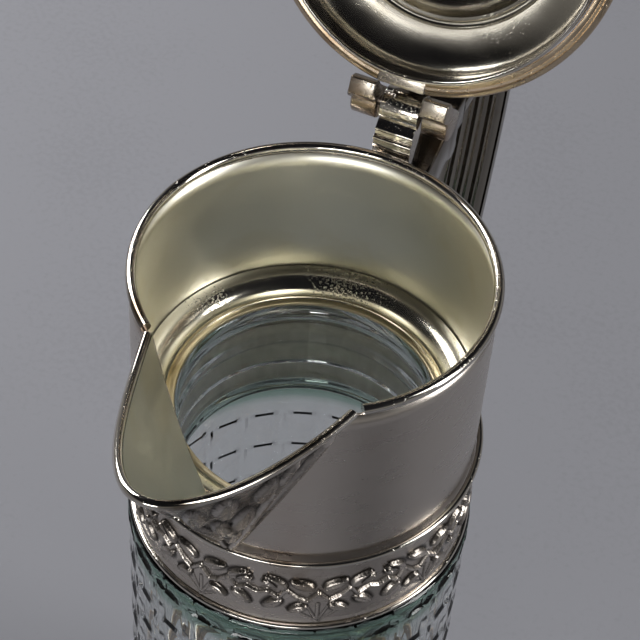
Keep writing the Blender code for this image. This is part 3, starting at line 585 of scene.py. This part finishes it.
def buildCollarWall():
    low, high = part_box("collar_wall")
    profile = [(collar["outer"], high.z - (high.z - low.z) * i / 12) for i in range(13)]
    bm = spun(profile, collar["steps"], closed=False)
    slope = notchHalf(1.0) / collar["notchDrop"]
    for side in (1, -1):
        cut = Vector((0.0, 0.0, rimZ - collar["notchDrop"]))
        normal = Vector((side, 0.0, -slope))
        geom = [f for f in bm.faces if f.calc_center_median().y < 0]
        geom += list({e for f in geom for e in f.edges}) + list({v for f in geom for v in f.verts})
        bmesh.ops.bisect_plane(bm, geom=geom, plane_co=cut, plane_no=normal, dist=0.000002)
    gone = []
    for face in bm.faces:
        middle = face.calc_center_median()
        height = middle.z - (rimZ - collar["notchDrop"])
        if middle.y < 0 and height > 0 and abs(middle.x) < slope * height:
            gone.append(face)
    bmesh.ops.delete(bm, geom=gone, context="FACES")
    for face in bm.faces:
        middle = face.calc_center_median()
        if face.normal.dot(Vector((middle.x, middle.y, 0.0))) < 0:
            face.normal_flip()
    wall = addPiece("collarWall", bm, "jug", ["polishedPlate", "satinInside"],
                    ["collar_wall"], bend=40)
    sheet = wall.modifiers.new("sheet", "SOLIDIFY")
    sheet.thickness = collar["sheet"]
    sheet.offset = -1.0
    sheet.material_offset = 1
    sheet.material_offset_rim = 0
    print("collar wall")


def buildRimWire():
    # round wire from one corner of the spout round to the other
    radius = collar["rimRadius"]
    wire = collar["rimWire"] / 2
    centre = (radius - wire, rimZ - wire)
    profile = arc(centre, wire, 0, 360, 20)[:-1]
    trim = degreesOf(collar["wireTrim"] / radius)
    bm = spun(profile, 160, closed=True, start=-90 + collar["notchAngle"] + trim,
              sweep=360 - 2 * collar["notchAngle"] - 2 * trim)
    addPiece("rimWire", bm, "jug", ["rimPlate"], ["rim_wire"], bend=60)
    print("rim wire")


def degreesOf(angle):
    return angle * 180.0 / pi


ledge = {
    "width": 0.0066,                             # rolled bead
    "drop": 0.0045,
    "shelf": 0.0020,                             # flat ledge inside the bead
    "sheet": 0.0010,
}


def buildLedgeRing():
    outer = collar["outer"] - collar["sheet"] - gap
    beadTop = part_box("inner_ledge_ring")[1].z
    width, drop = ledge["width"], ledge["drop"]
    shelf, sheet = ledge["shelf"], ledge["sheet"]
    top = []
    count = 20
    for i in range(count + 1):
        turn = pi / 2 * i / count
        top.append((outer - width * sin(turn), beadTop - drop * (1 - cos(turn)) ** 0.9))
    shelfZ = beadTop - drop
    top.append((outer - width - 0.0003, shelfZ - 0.00025))
    top.append((outer - width - 0.0006, shelfZ))
    top += arc((outer - width - shelf + 0.0004, shelfZ - 0.0004), 0.0004, 90, 180, 4)
    under = [(outer - width - shelf, shelfZ - sheet), (outer - width, shelfZ - sheet)]
    for r, z in reversed(top[1:count:3]):
        under.append((min(r + sheet, outer), z - sheet))
    under.append((outer, beadTop - 2 * sheet))
    bm = spun(top + under, collar["steps"])
    bm.faces.ensure_lookup_table()
    for face in bm.faces:
        middle = face.calc_center_median()
        r = sqrt(middle.x ** 2 + middle.y ** 2)
        face.material_index = 0 if r > outer - width - 0.0002 else 1
    addPiece("ledgeRing", bm, "jug", ["blackenedBead", "brassyLedge"],
             ["inner_ledge_ring"], bend=50)
    print("ledge ring")


def buildFillets():
    low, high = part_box("upper_fillet_wire")
    middle = (low.z + high.z) / 2
    size = (high.z - low.z) / 2
    bm = spun(arc((high.x - size, middle), size, 0, 360, 16)[:-1], collar["steps"])
    addPiece("upperFillet", bm, "jug", ["rimPlate"], ["upper_fillet_wire"],
             bend=60)
    low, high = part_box("lower_fillet_wire")
    size = (high.z - low.z) / 2
    middle = (low.z + high.z) / 2
    profile = arc((high.x - size, middle), size, 90, -90, 8)
    profile += [(high.x - size - 0.001, low.z), (high.x - size - 0.001, high.z)]
    bm = spun(profile, collar["steps"])
    addPiece("lowerFillet", bm, "jug", ["rimPlate"], ["lower_fillet_wire"],
             bend=60)
    print("fillet wires")


leafBand = {
    "repeats": 9,
    "relief": 0.0013,
    "ground": 0.0003,                            # how far the plain sheet lies inside the box
    "steps": 1080,
    "rows": 84,
    "leaves": [                                  # place, lean, length, half width, in mm
        ((1.0, 14.6), 22, 6.4, 1.5),
        ((2.6, 7.6), -24, 5.2, 1.3),
        ((7.6, 14.2), 38, 6.2, 1.5),
        ((8.6, 9.6), -38, 6.0, 1.4),
        ((13.6, 16.4), 200, 3.8, 1.0),
    ],
    "vine": [(0.0, 12.6), (2.6, 9.4), (5.4, 11.0), (7.6, 13.6), (9.4, 10.4), (12.2, 12.4),
             (14.7, 11.2)],
}


def buildLeafBand():
    low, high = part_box("leaf_band")
    radius = high.x - leafBand["ground"]
    top, bottom = high.z, low.z
    tall = top - bottom
    rows = leafBand["rows"]
    profile = []
    for i in range(rows + 1):
        share = i / rows
        profile.append((radius, top - tall * share))
    profile += [(radius - 0.0010, bottom), (radius - 0.0010, top)]
    bm = spun(profile, leafBand["steps"])
    mesh = bpy.data.meshes.new("leafBand")
    bm.to_mesh(mesh)
    bm.free()
    points = readPoints(mesh)
    r = np.hypot(points[:, 0], points[:, 1])
    turn = np.arctan2(points[:, 1], points[:, 0])
    pitch = 2 * pi / leafBand["repeats"]
    u = (np.mod(turn, pitch) - pitch / 2) * radius
    v = points[:, 2] - bottom
    h = leafBand["relief"]
    leaves, stems = [], []
    for place, angle, length, width in leafBand["leaves"]:
        for side in (1, -1):
            lean = angle if side > 0 else 180 - angle
            leaves.append((side * place[0] * mm, place[1] * mm, lean, length * mm, width * mm, h))
    vine = leafBand["vine"]
    for (x0, y0), (x1, y1) in zip(vine, vine[1:]):
        for side in (1, -1):
            stems.append((side * x0 * mm, y0 * mm, side * x1 * mm, y1 * mm, 0.55 * mm, 0.75 * h))
    stems.append((0.0, 1.0 * mm, 0.0, 8.0 * mm, 0.35 * mm, 0.3 * h))
    for side in (1, -1):
        for spread, rise in ((2.4, 6.6), (4.4, 4.6)):
            stems.append((0.0, 1.0 * mm, side * spread * mm, rise * mm, 0.3 * mm, 0.25 * h))
    height, paintedEdgeShade = reliefOf(u, v, leaves, stems)
    edge = np.minimum(v, tall - v)
    border = np.exp(-((edge - 0.7 * mm) / (0.45 * mm)) ** 2)
    outside = r > radius - 0.0004
    fade = np.clip(edge / (0.8 * mm), 0.0, 1.0)
    lift = np.where(outside, height * fade + 0.25 * h * border - 0.45 * h, 0.0)
    scale = (r + lift) / r
    points[:, 0] *= scale
    points[:, 1] *= scale
    writePoints(mesh, points)
    # painted shade along the relief's edges outside, and an even painted shade over the band's
    # inner side
    writePaintedEdgeShade(mesh, np.where(outside, paintedEdgeShade ** 0.7, 0.3))
    addMesh("leafBand", mesh, "jug", ["leafPlate"], ["leaf_band"], bend=70)
    print("leaf band: %d leaves in each of %d repeats" % (len(leaves), leafBand["repeats"]))


# Spout: the V-set sheet with its leaf relief outside, and the rolled lip

spout = {
    "tipY": 0.0809,
    "rise": 0.0105,
    "risePower": 1.6,
    "flare": 1.35,
    "foot": 0.05,
    "sheet": 0.0010,
    "lip": 0.0022,
    "relief": 0.0015,
    "columns": 200,
    "rows": 150,
    "leaves": [                                  # foot, lean in degrees, length, half width
        (1.6, 9.0, 16, 17, 1.9),
        (3.2, 19.0, 10, 19, 2.1),
        (6.4, 22.0, 18, 20, 1.8),
        (3.0, 38.0, 14, 18, 2.2),
        (9.0, 41.0, 16, 17, 1.9),
        (14.6, 42.0, 20, 15, 1.6),
    ],
    "ribs": [(28.5, 0.9), (24.5, 0.6)],          # how far out each ends, half width
}


def spoutPoint(share, across):
    half = notchHalf(share)
    edge = np.sqrt(collarMiddle ** 2 - half ** 2)
    corner = collarMiddle * cos(radians(collar["notchAngle"]))
    reach = (spout["tipY"] - corner) * share ** spout["flare"]
    bulge = 1 - across * across
    rise = spout["rise"] * share ** 2 * bulge ** spout["risePower"]
    return np.stack([half * across, -(edge + reach * bulge),
                     rimZ - collar["notchDrop"] * (1 - share) + rise], axis=-1)


def spoutTop(across, distance):
    step = 0.001
    rise = spoutPoint(1.0, across) - spoutPoint(1.0 - step, across)
    return 1.0 - distance * step / np.linalg.norm(rise, axis=-1)


def spoutGrid(columns, rows):
    # places and outward normals of a grid over the sheet's middle
    bm = bmesh.new()
    bmesh.ops.create_grid(bm, x_segments=columns, y_segments=rows, size=1.0)
    mesh = bpy.data.meshes.new("spoutGrid")
    bm.to_mesh(mesh)
    bm.free()
    flat = readPoints(mesh)
    across = np.sin(pi / 2 * flat[:, 0])
    top = spoutTop(across, spout["lip"] * 0.8)
    share = spout["foot"] + (top - spout["foot"]) * (flat[:, 1] + 1) / 2
    step = 0.002
    alongX = (spoutPoint(share, np.minimum(across + step, 1))
              - spoutPoint(share, np.maximum(across - step, -1)))
    alongY = spoutPoint(share + step, across) - spoutPoint(share - step, across)
    normals = np.cross(alongX, alongY)
    normals /= np.linalg.norm(normals, axis=1)[:, None]
    return mesh, spoutPoint(share, across), normals, share, across


def buildSpout():
    mesh, places, normals, share, across = spoutGrid(spout["columns"], spout["rows"])
    v = share * 62 * mm
    u = across * share * 31 * mm
    h = spout["relief"]
    leaves, stems = [], []
    for side in (1, -1):
        for u0, v0, lean, length, width in spout["leaves"]:
            leaves.append((side * u0 * mm, v0 * mm, 90 - side * lean, length * mm, width * mm, h))
        for u1, width in spout["ribs"]:
            stems.append((side * 0.2 * mm, 2 * mm, side * u1 * mm, 62 * mm, width * mm, 0.9 * h))
    leaves.append((0.0, 12 * mm, 90, 22 * mm, 2.6 * mm, 1.1 * h))
    height, paintedEdgeShade = reliefOf(u, v, leaves, stems)
    edge = np.clip((1.0 - np.abs(across)) / 0.05, 0.0, 1.0)
    edge *= np.clip((0.97 - share) / 0.05, 0.0, 1.0)
    height *= edge
    outer = places + normals * (spout["sheet"] / 2 + height - 0.25 * h)[:, None]
    inner = places - normals * (spout["sheet"] / 2)
    writePoints(mesh, outer)
    bm = bmesh.new()
    bm.from_mesh(mesh)
    rim = [e for e in bm.edges if e.is_boundary]
    back = bmesh.ops.duplicate(bm, geom=bm.faces[:] + bm.edges[:] + bm.verts[:])
    backVerts = [v for v in back["geom"] if isinstance(v, bmesh.types.BMVert)]
    backFaces = [f for f in back["geom"] if isinstance(f, bmesh.types.BMFace)]
    backEdges = [e for e in back["geom"] if isinstance(e, bmesh.types.BMEdge) and e.is_boundary]
    for vert, place in zip(backVerts, inner):
        vert.co = place
    for face in backFaces:
        face.material_index = 1
    bmesh.ops.reverse_faces(bm, faces=backFaces)
    bmesh.ops.bridge_loops(bm, edges=rim + backEdges)
    bmesh.ops.recalc_face_normals(bm, faces=bm.faces)
    shell = bpy.data.meshes.new("spoutShell")
    bm.to_mesh(shell)
    bm.free()
    bpy.data.meshes.remove(mesh)
    # painted shade along the relief's edges outside, none on the inner side
    writePaintedEdgeShade(shell, np.concatenate([paintedEdgeShade ** 0.7, np.zeros(len(paintedEdgeShade))]))
    addMesh("spoutShell", shell, "jug", ["leafPlate", "satinInside"],
            ["spout_shell"], bend=70)
    print("spout shell")


def sweptTube(name, places, radius, sides=16, cyclic=False):
    curve = bpy.data.curves.new(name, "CURVE")
    curve.dimensions = "3D"
    curve.bevel_depth = radius
    curve.bevel_resolution = sides // 4
    curve.use_fill_caps = not cyclic
    line = curve.splines.new("POLY")
    line.points.add(len(places) - 1)
    for point, place in zip(line.points, places):
        point.co = (*place, 1.0)
    return meshOf(bpy.data.objects.new(name, curve))


def meshOf(obj):
    # the finished mesh of a curve object, which is then removed
    bpy.context.scene.collection.objects.link(obj)
    graph = bpy.context.evaluated_depsgraph_get()
    mesh = bpy.data.meshes.new_from_object(obj.evaluated_get(graph), depsgraph=graph)
    curve = obj.data
    bpy.data.objects.remove(obj)
    bpy.data.curves.remove(curve)
    bm = bmesh.new()
    bm.from_mesh(mesh)
    bmesh.ops.remove_doubles(bm, verts=bm.verts, dist=0.000002)
    bmesh.ops.recalc_face_normals(bm, faces=bm.faces)
    bm.to_mesh(mesh)
    bm.free()
    return mesh


def buildLip():
    count = 90
    places = []
    for i in range(count + 1):
        across = 0.985 * sin(pi / 2 * (2 * i / count - 1))
        places.append(spoutPoint(spoutTop(across, spout["lip"] / 2), across))
    mesh = sweptTube("spoutLip", places, spout["lip"] / 2)
    addMesh("spoutLip", mesh, "jug", ["rimPlate"], ["spout_lip_wire"], bend=60)
    print("spout lip")


# Hinge: strap with its mouldings, pin, and the lid's two ears

hingeParts = {
    "strapHalf": 0.0047,
    "knuckle": 0.0044,
    "pin": 0.0014,
    "earWidth": 0.0064,
    "plateHalf": 0.00575,                        # half width of the plate between the ears
}


def knuckleArc(start, end, count):
    return arc((pinPlace.y, pinPlace.z), hingeParts["knuckle"], start, end, count)


def buildHinge():
    half = hingeParts["strapHalf"]
    low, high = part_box("hinge_strap")
    front = collar["rimRadius"] + gap
    rise = rimZ
    step = rimZ - collar["rimWire"] - 0.0006
    outline = [(front + 0.0002, step), (front + 0.0002, rise + 0.0021)]
    outline += arc((front + 0.0004, rise + 0.0027), 0.0006, -100, -260, 6)
    outline += [(front + 0.0010, rise + 0.0034), (front + 0.0011, rise + 0.0042)]
    outline += arc((front + 0.0014, rise + 0.0048), 0.0006, -110, -250, 6)
    outline += knuckleArc(205, -30, 22)
    outline += [(pinPlace.y - hingeParts["pin"], low.z), (front - 0.0006, low.z),
                (front - 0.0006, step)]
    bm = slab(outline, -half, half, bevel=0.00025, segments=2)
    addPiece("hingeStrap", bm, "jug", ["rimPlate"], ["hinge_strap"], bend=28)
    low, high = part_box("hinge_pin")
    bm = bmesh.new()
    bmesh.ops.create_cone(bm, cap_ends=True, segments=40, radius1=hingeParts["pin"],
                          radius2=hingeParts["pin"], depth=high.x - low.x)
    caps = [e for e in bm.edges if e.calc_face_angle(0) > 1.0]
    bmesh.ops.bevel(bm, geom=caps, offset=0.0003, offset_type="OFFSET", segments=3, profile=0.5,
                    affect="EDGES", material=-1)
    bmesh.ops.rotate(bm, verts=bm.verts, cent=(0, 0, 0), matrix=Matrix.Rotation(pi / 2, 3, "Y"))
    bmesh.ops.translate(bm, verts=bm.verts, vec=((low.x + high.x) / 2, pinPlace.y, pinPlace.z))
    addPiece("hingePin", bm, "jug", ["darkPin"], ["hinge_pin"], bend=40)
    base = rimZ + 0.0006
    flangeTop = rimZ + 0.0037
    for name, side, node in (("earLeft", -1, "lid_ear_left"), ("earRight", 1, "lid_ear_right")):
        outline = [(collar["rimRadius"] + 0.0005, base), (pinPlace.y - 0.0022, base)]
        outline += knuckleArc(-100, 120, 20)
        outline += [(collar["rimRadius"] + 0.0020, flangeTop + 0.0016),
                    (collar["rimRadius"] + 0.0005, flangeTop - 0.0004)]
        near = hingeParts["plateHalf"]
        far = near + hingeParts["earWidth"]
        ends = sorted((side * near, side * far))
        bm = slab(outline, ends[0], ends[1], bevel=0.0005)
        addPiece(name, bm, "lid", ["hingePlate"], [node], bend=34, lid=True)
    print("hinge")


# Lid: flange, locating ring, dome with its raised ring, knob and fixing

lid = {
    "bezelOuter": 0.0384,
    "bezelWall": 0.0010,
    "bezelDepth": 0.0034,
    "flangeHeight": 0.0034,
    "flangeRadius": 0.0422,
    "sheet": 0.0009,
    "stepRadius": 0.0288,
    "shoulder": 0.0052,
    "rise": 0.0096,
    "stud": 0.0015,
    "steps": 192,
}


def domeProfile(count):
    flangeTop = rimZ + gap + lid["flangeHeight"]
    edgeR = lid["bezelOuter"]
    edgeZ = flangeTop + gap + lid["sheet"]
    shoulderZ = edgeZ + lid["shoulder"]
    points = []
    for i in range(count + 1):
        turn = pi / 2 * i / count
        points.append((edgeR + (lid["stepRadius"] - edgeR) * (1 - cos(turn)),
                       edgeZ + lid["shoulder"] * sin(turn)))
    bead = lid["sheet"]
    points += arc((lid["stepRadius"] - 1.2 * bead, shoulderZ), 1.1 * bead, 20, 160, 8)
    inner = lid["stepRadius"] - 3 * bead
    hole = lid["stud"] + gap
    for i in range(count + 1):
        turn = pi / 2 * i / count
        points.append((max(inner * cos(turn), hole),
                       shoulderZ + bead / 2 + lid["rise"] * sin(turn)))
    return points


def buildLid():
    base = rimZ + gap
    top = base + lid["flangeHeight"]
    out = lid["flangeRadius"]
    inn = lid["bezelOuter"] + gap
    wide = out - inn
    profile = [(inn, top), (out - wide / 3, top)]
    profile += arc((out - wide / 3, top - 0.0006), 0.0006, 90, 0, 4)
    profile += arc((out - 0.0008, base + 0.0012), 0.0008, 70, -90, 8)
    profile += [(out - 0.0012, base), (out - 0.0015, base + 0.00035),
                (out - 0.0021, base + 0.00045),
                (out - 0.0025, base + 0.0001), (inn + 0.0002, base), (inn, base + 0.0002)]
    near = degreesOf(asin((hingeParts["plateHalf"] + gap) / out))
    bm = spun(profile, lid["steps"], start=90 + near, sweep=360 - 2 * near)
    addPiece("lidFlange", bm, "lid", ["wornGilt"], ["lid_rim_flange"], bend=38,
             lid=True)
    low = -hingeParts["plateHalf"]
    plate = [(inn, base + 0.0001), (collar["rimRadius"] - 0.0003, base + 0.0001),
             (collar["rimRadius"] - 0.0003, top), (inn, top)]
    bm = slab(plate, low, -low, bevel=0.0003)
    addPiece("lidHingePlate", bm, "lid", ["hingePlate"], ["lid_hinge_plate"],
             bend=34, lid=True)
    outer = lid["bezelOuter"]
    inner = outer - lid["bezelWall"]
    bottom = base - lid["bezelDepth"]
    curl = lid["bezelWall"] / 2
    profile = [(outer, top)] + arc((outer - curl, bottom + curl), curl, 0, -180, 10)
    profile += [(inner, top)]
    bm = spun(profile, lid["steps"])
    addPiece("lidBezel", bm, "lid", ["rimPlate"], ["lid_bezel_ring"], bend=40,
             lid=True)
    outerSide = domeProfile(22)
    innerSide = [(max(r - lid["sheet"] * 0.5, lid["stud"] + gap), z - lid["sheet"])
                 for r, z in outerSide]
    innerSide[0] = (outerSide[0][0], outerSide[0][1] - lid["sheet"])
    bm = spun(list(reversed(outerSide)) + innerSide, lid["steps"])
    bm.normal_update()
    for face in bm.faces:
        face.material_index = 1 if face.normal.z < 0 else 0
    addPiece("lidDome", bm, "lid", ["polishedPlate", "lidInside"], ["lid_dome"],
             bend=45, lid=True)
    print("lid")


finial = {
    "tall": 0.0235,
    "wide": 0.0062,
    "washer": 0.0008,
    "nut": 0.0024,
    "proud": 0.0022,                             # stud below its nut
}


def buildFinial():
    domeTop = domeProfile(22)[-1][1]
    seat = domeTop + gap
    tall, wide = finial["tall"], finial["wide"]
    ball = wide * 0.85
    top = seat + tall
    profile = [(0.0, top)] + arc((0.0, top - ball), ball, 88, -50, 16)[1:]
    profile += arc((wide * 0.95, seat + tall * 0.42), wide * 0.5, 165, 215, 6)
    profile += arc((wide * 0.62, seat + tall * 0.15), wide * 0.38, 80, -60, 8)
    profile += [(wide * 0.9, seat + tall * 0.03), (wide * 0.8, seat), (lid["stud"], seat)]
    studEnd = domeTop - lid["sheet"] - finial["washer"] - finial["nut"] - finial["proud"]
    profile += [(lid["stud"], studEnd + 0.0003), (lid["stud"] * 0.7, studEnd), (0.0, studEnd)]
    bm = spun(profile, 64, closed=False)
    addPiece("lidFinial", bm, "lid", ["polishedPlate"], ["lid_finial"],
             bend=40, lid=True)
    print("finial")


# Thumbpiece, bracket and handle

handle = {
    "width": 0.0150,
    "thick": 0.0086,
    "reeds": 4,
    "grip": [                                    # place, tangent before, tangent after, in (y, z)
        ((0.0738, 0.2403), (0.0516, 0.2403), (0.0960, 0.2403)),
        ((0.1142, 0.2220), (0.1142, 0.2357), (0.1142, 0.1850)),
        ((0.0547, 0.0680), (0.0761, 0.0680), (0.0333, 0.0680)),
    ],
}


def buildThumbpiece():
    base = rimZ + 0.0006 + lid["flangeHeight"]
    back = collar["rimRadius"] - 0.0003
    tip = (pinPlace.y + 0.0030, pinPlace.z + 0.0235)
    reach = tip[1] - base
    outline = [(back, base)]
    count = 18
    for i in range(1, count):
        share = i / count
        outline.append((back + (tip[0] - back) * share ** 2.2, base + reach * share))
    outline += [(tip[0], tip[1] - 0.0006), (tip[0] - 0.0009, tip[1])]
    for i in range(count - 1, 0, -1):
        share = i / count
        thick = 0.0018 + 0.0012 * sin(pi * share)
        outline.append((back - thick + (tip[0] - back) * share ** 2.2, base + reach * share))
    outline.append((back - 0.0018, base))
    bm = slab(outline, -0.005, 0.005, bevel=0.0004)
    for vert in bm.verts:
        share = (vert.co.z - base) / reach
        vert.co.x *= 0.78 + 0.22 * abs(cos(pi * 1.1 * max(share, 0.0)))
    addPiece("thumbpiece", bm, "lid", ["handlePaintedDarkReflection"], ["lid_thumbpiece"],
             bend=34, lid=True)
    print("thumbpiece")


def buildBracket():
    low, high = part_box("handle_bracket")
    top, end = high.z, high.y
    start = low.y
    lobe = 0.0032
    under = top - handle["thick"]
    root = 0.2385
    strapBack = pinPlace.y + hingeParts["knuckle"] / 2
    crest = end - 2 * lobe
    outline = [(start + 0.0006, root), (strapBack, root)]
    for i in range(1, 12):
        share = i / 12
        outline.append((strapBack + (crest - strapBack) * share,
                        root + (top - root) * (0.75 * share + 0.25 * share ** 2)))
    outline += [(crest, top), (end, top), (end, under), (end - lobe, under)]
    outline += arc((crest, under - 1.2 * lobe), lobe, 30, -150, 14)
    first = outline[-1]
    last = (start + 2 * lobe, low.z)
    for i in range(1, 13):
        share = i / 12
        outline.append((first[0] + (last[0] - first[0]) * share,
                        first[1] + (last[1] - first[1]) * share ** 1.8))
    outline.append((start + 0.0006, low.z))
    bm = slab(outline, low.x, high.x, bevel=0.0007)
    addPiece("handleBracket", bm, "jug", ["handlePaintedDarkReflection"], ["handle_bracket"],
             bend=34)
    print("bracket")


def reedSection():
    halfW, halfT = handle["width"] / 2, handle["thick"] / 2
    count = handle["reeds"]
    points = []
    for side in (1, -1):
        for i in range(count):
            for j in range(8):
                share = -1 + 2 * (i + j / 8) / count
                crown = halfT * sqrt(1 - 0.72 * share * share)
                reed = 0.0013 * (1 - sqrt(abs(sin(pi * j / 8))))
                points.append((side * share * halfW * 0.94, side * (crown - reed)))
        points.append((side * halfW * 0.97, side * halfT * 0.36))
        points.append((side * halfW, 0.0))
        points.append((side * halfW * 0.97, -side * halfT * 0.36))
    return points


def buildHandle():
    section = bpy.data.curves.new("reedSection", "CURVE")
    section.dimensions = "2D"
    ring = section.splines.new("POLY")
    outline = reedSection()
    ring.points.add(len(outline) - 1)
    for point, (a, b) in zip(ring.points, outline):
        point.co = (a, b, 0.0, 1.0)
    ring.use_cyclic_u = True
    sectionObj = bpy.data.objects.new("reedSection", section)
    bpy.context.scene.collection.objects.link(sectionObj)
    path = bpy.data.curves.new("handleGrip", "CURVE")
    path.dimensions = "3D"
    path.resolution_u = 48
    path.bevel_mode = "OBJECT"
    path.bevel_object = sectionObj
    path.use_fill_caps = True
    path.twist_mode = "MINIMUM"
    line = path.splines.new("BEZIER")
    line.bezier_points.add(len(handle["grip"]) - 1)
    for point, (place, before, after) in zip(line.bezier_points, handle["grip"]):
        point.handle_left_type = "FREE"
        point.handle_right_type = "FREE"
        point.co = (0.0, *place)
        point.handle_left = (0.0, *before)
        point.handle_right = (0.0, *after)
    mesh = meshOf(bpy.data.objects.new("handleGrip", path))
    bpy.data.objects.remove(sectionObj)
    bpy.data.curves.remove(section)
    addMesh("handleGrip", mesh, "jug", ["handlePaintedDarkReflection"], ["handle_grip"], bend=40)
    print("handle")


def buildBodyBand():
    low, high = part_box("body_band")
    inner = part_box("band_lining")[1].x + gap
    roll = 0.0008
    profile = []
    for z, start in ((high.z - roll, 90), (low.z + roll, 0)):
        profile += arc((high.x - roll, z), roll, start, start - 90, 6)
        if start == 90:
            profile += [(high.x - 0.0003, z - 0.0006), (high.x - 0.0003, low.z + roll + 0.0006)]
    profile += [(inner, low.z), (inner, high.z)]
    bm = spun(profile, collar["steps"])
    addPiece("bodyBand", bm, "jug", ["polishedPlate"], ["body_band"], bend=40)
    low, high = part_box("handle_lower_pad")
    middle = (low.z + high.z) / 2
    half = (high.z - low.z) / 2
    thick = handle["thick"] / 2
    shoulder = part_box("body_band")[1].x + 0.0028
    outline = [(low.y + 0.0006, middle + half), (low.y + 0.0006, middle - half),
               (shoulder, middle - half), (high.y, middle - thick), (high.y, middle + thick),
               (shoulder, middle + half)]
    bm = slab(outline, low.x, high.x, bevel=0.0009, segments=4)
    addPiece("lowerPad", bm, "jug", ["polishedPlate"], ["handle_lower_pad"],
             bend=34)
    print("body band")


def dressFrame():
    # the small frame pieces that keep their shape take a finish of their own
    for node, material in (("neck_cement", "plaster"), ("band_lining", "cork"),
                           ("finial_washer", "wornGilt"), ("finial_nut", "wornGilt")):
        obj = frame["nodes"][node]
        obj.data.materials.clear()
        obj.data.materials.append(finishes[material])


for name, look in metals.items():
    buildMetal(name, look)
buildGlass()
buildPlain("plaster", ((0.62, 0.60, 0.54), (0.74, 0.72, 0.66)), 300.0, 0.9)
buildPlain("cork", ((0.30, 0.19, 0.11), (0.52, 0.36, 0.22)), 700.0, 0.85)
print("materials: %d finishes" % len(finishes))
buildSetting()
buildGlassBody()
buildCollarWall()
buildRimWire()
buildLedgeRing()
buildFillets()
buildLeafBand()
buildSpout()
buildLip()
buildHinge()
buildLid()
buildFinial()
buildThumbpiece()
buildBracket()
buildHandle()
buildBodyBand()
dressFrame()
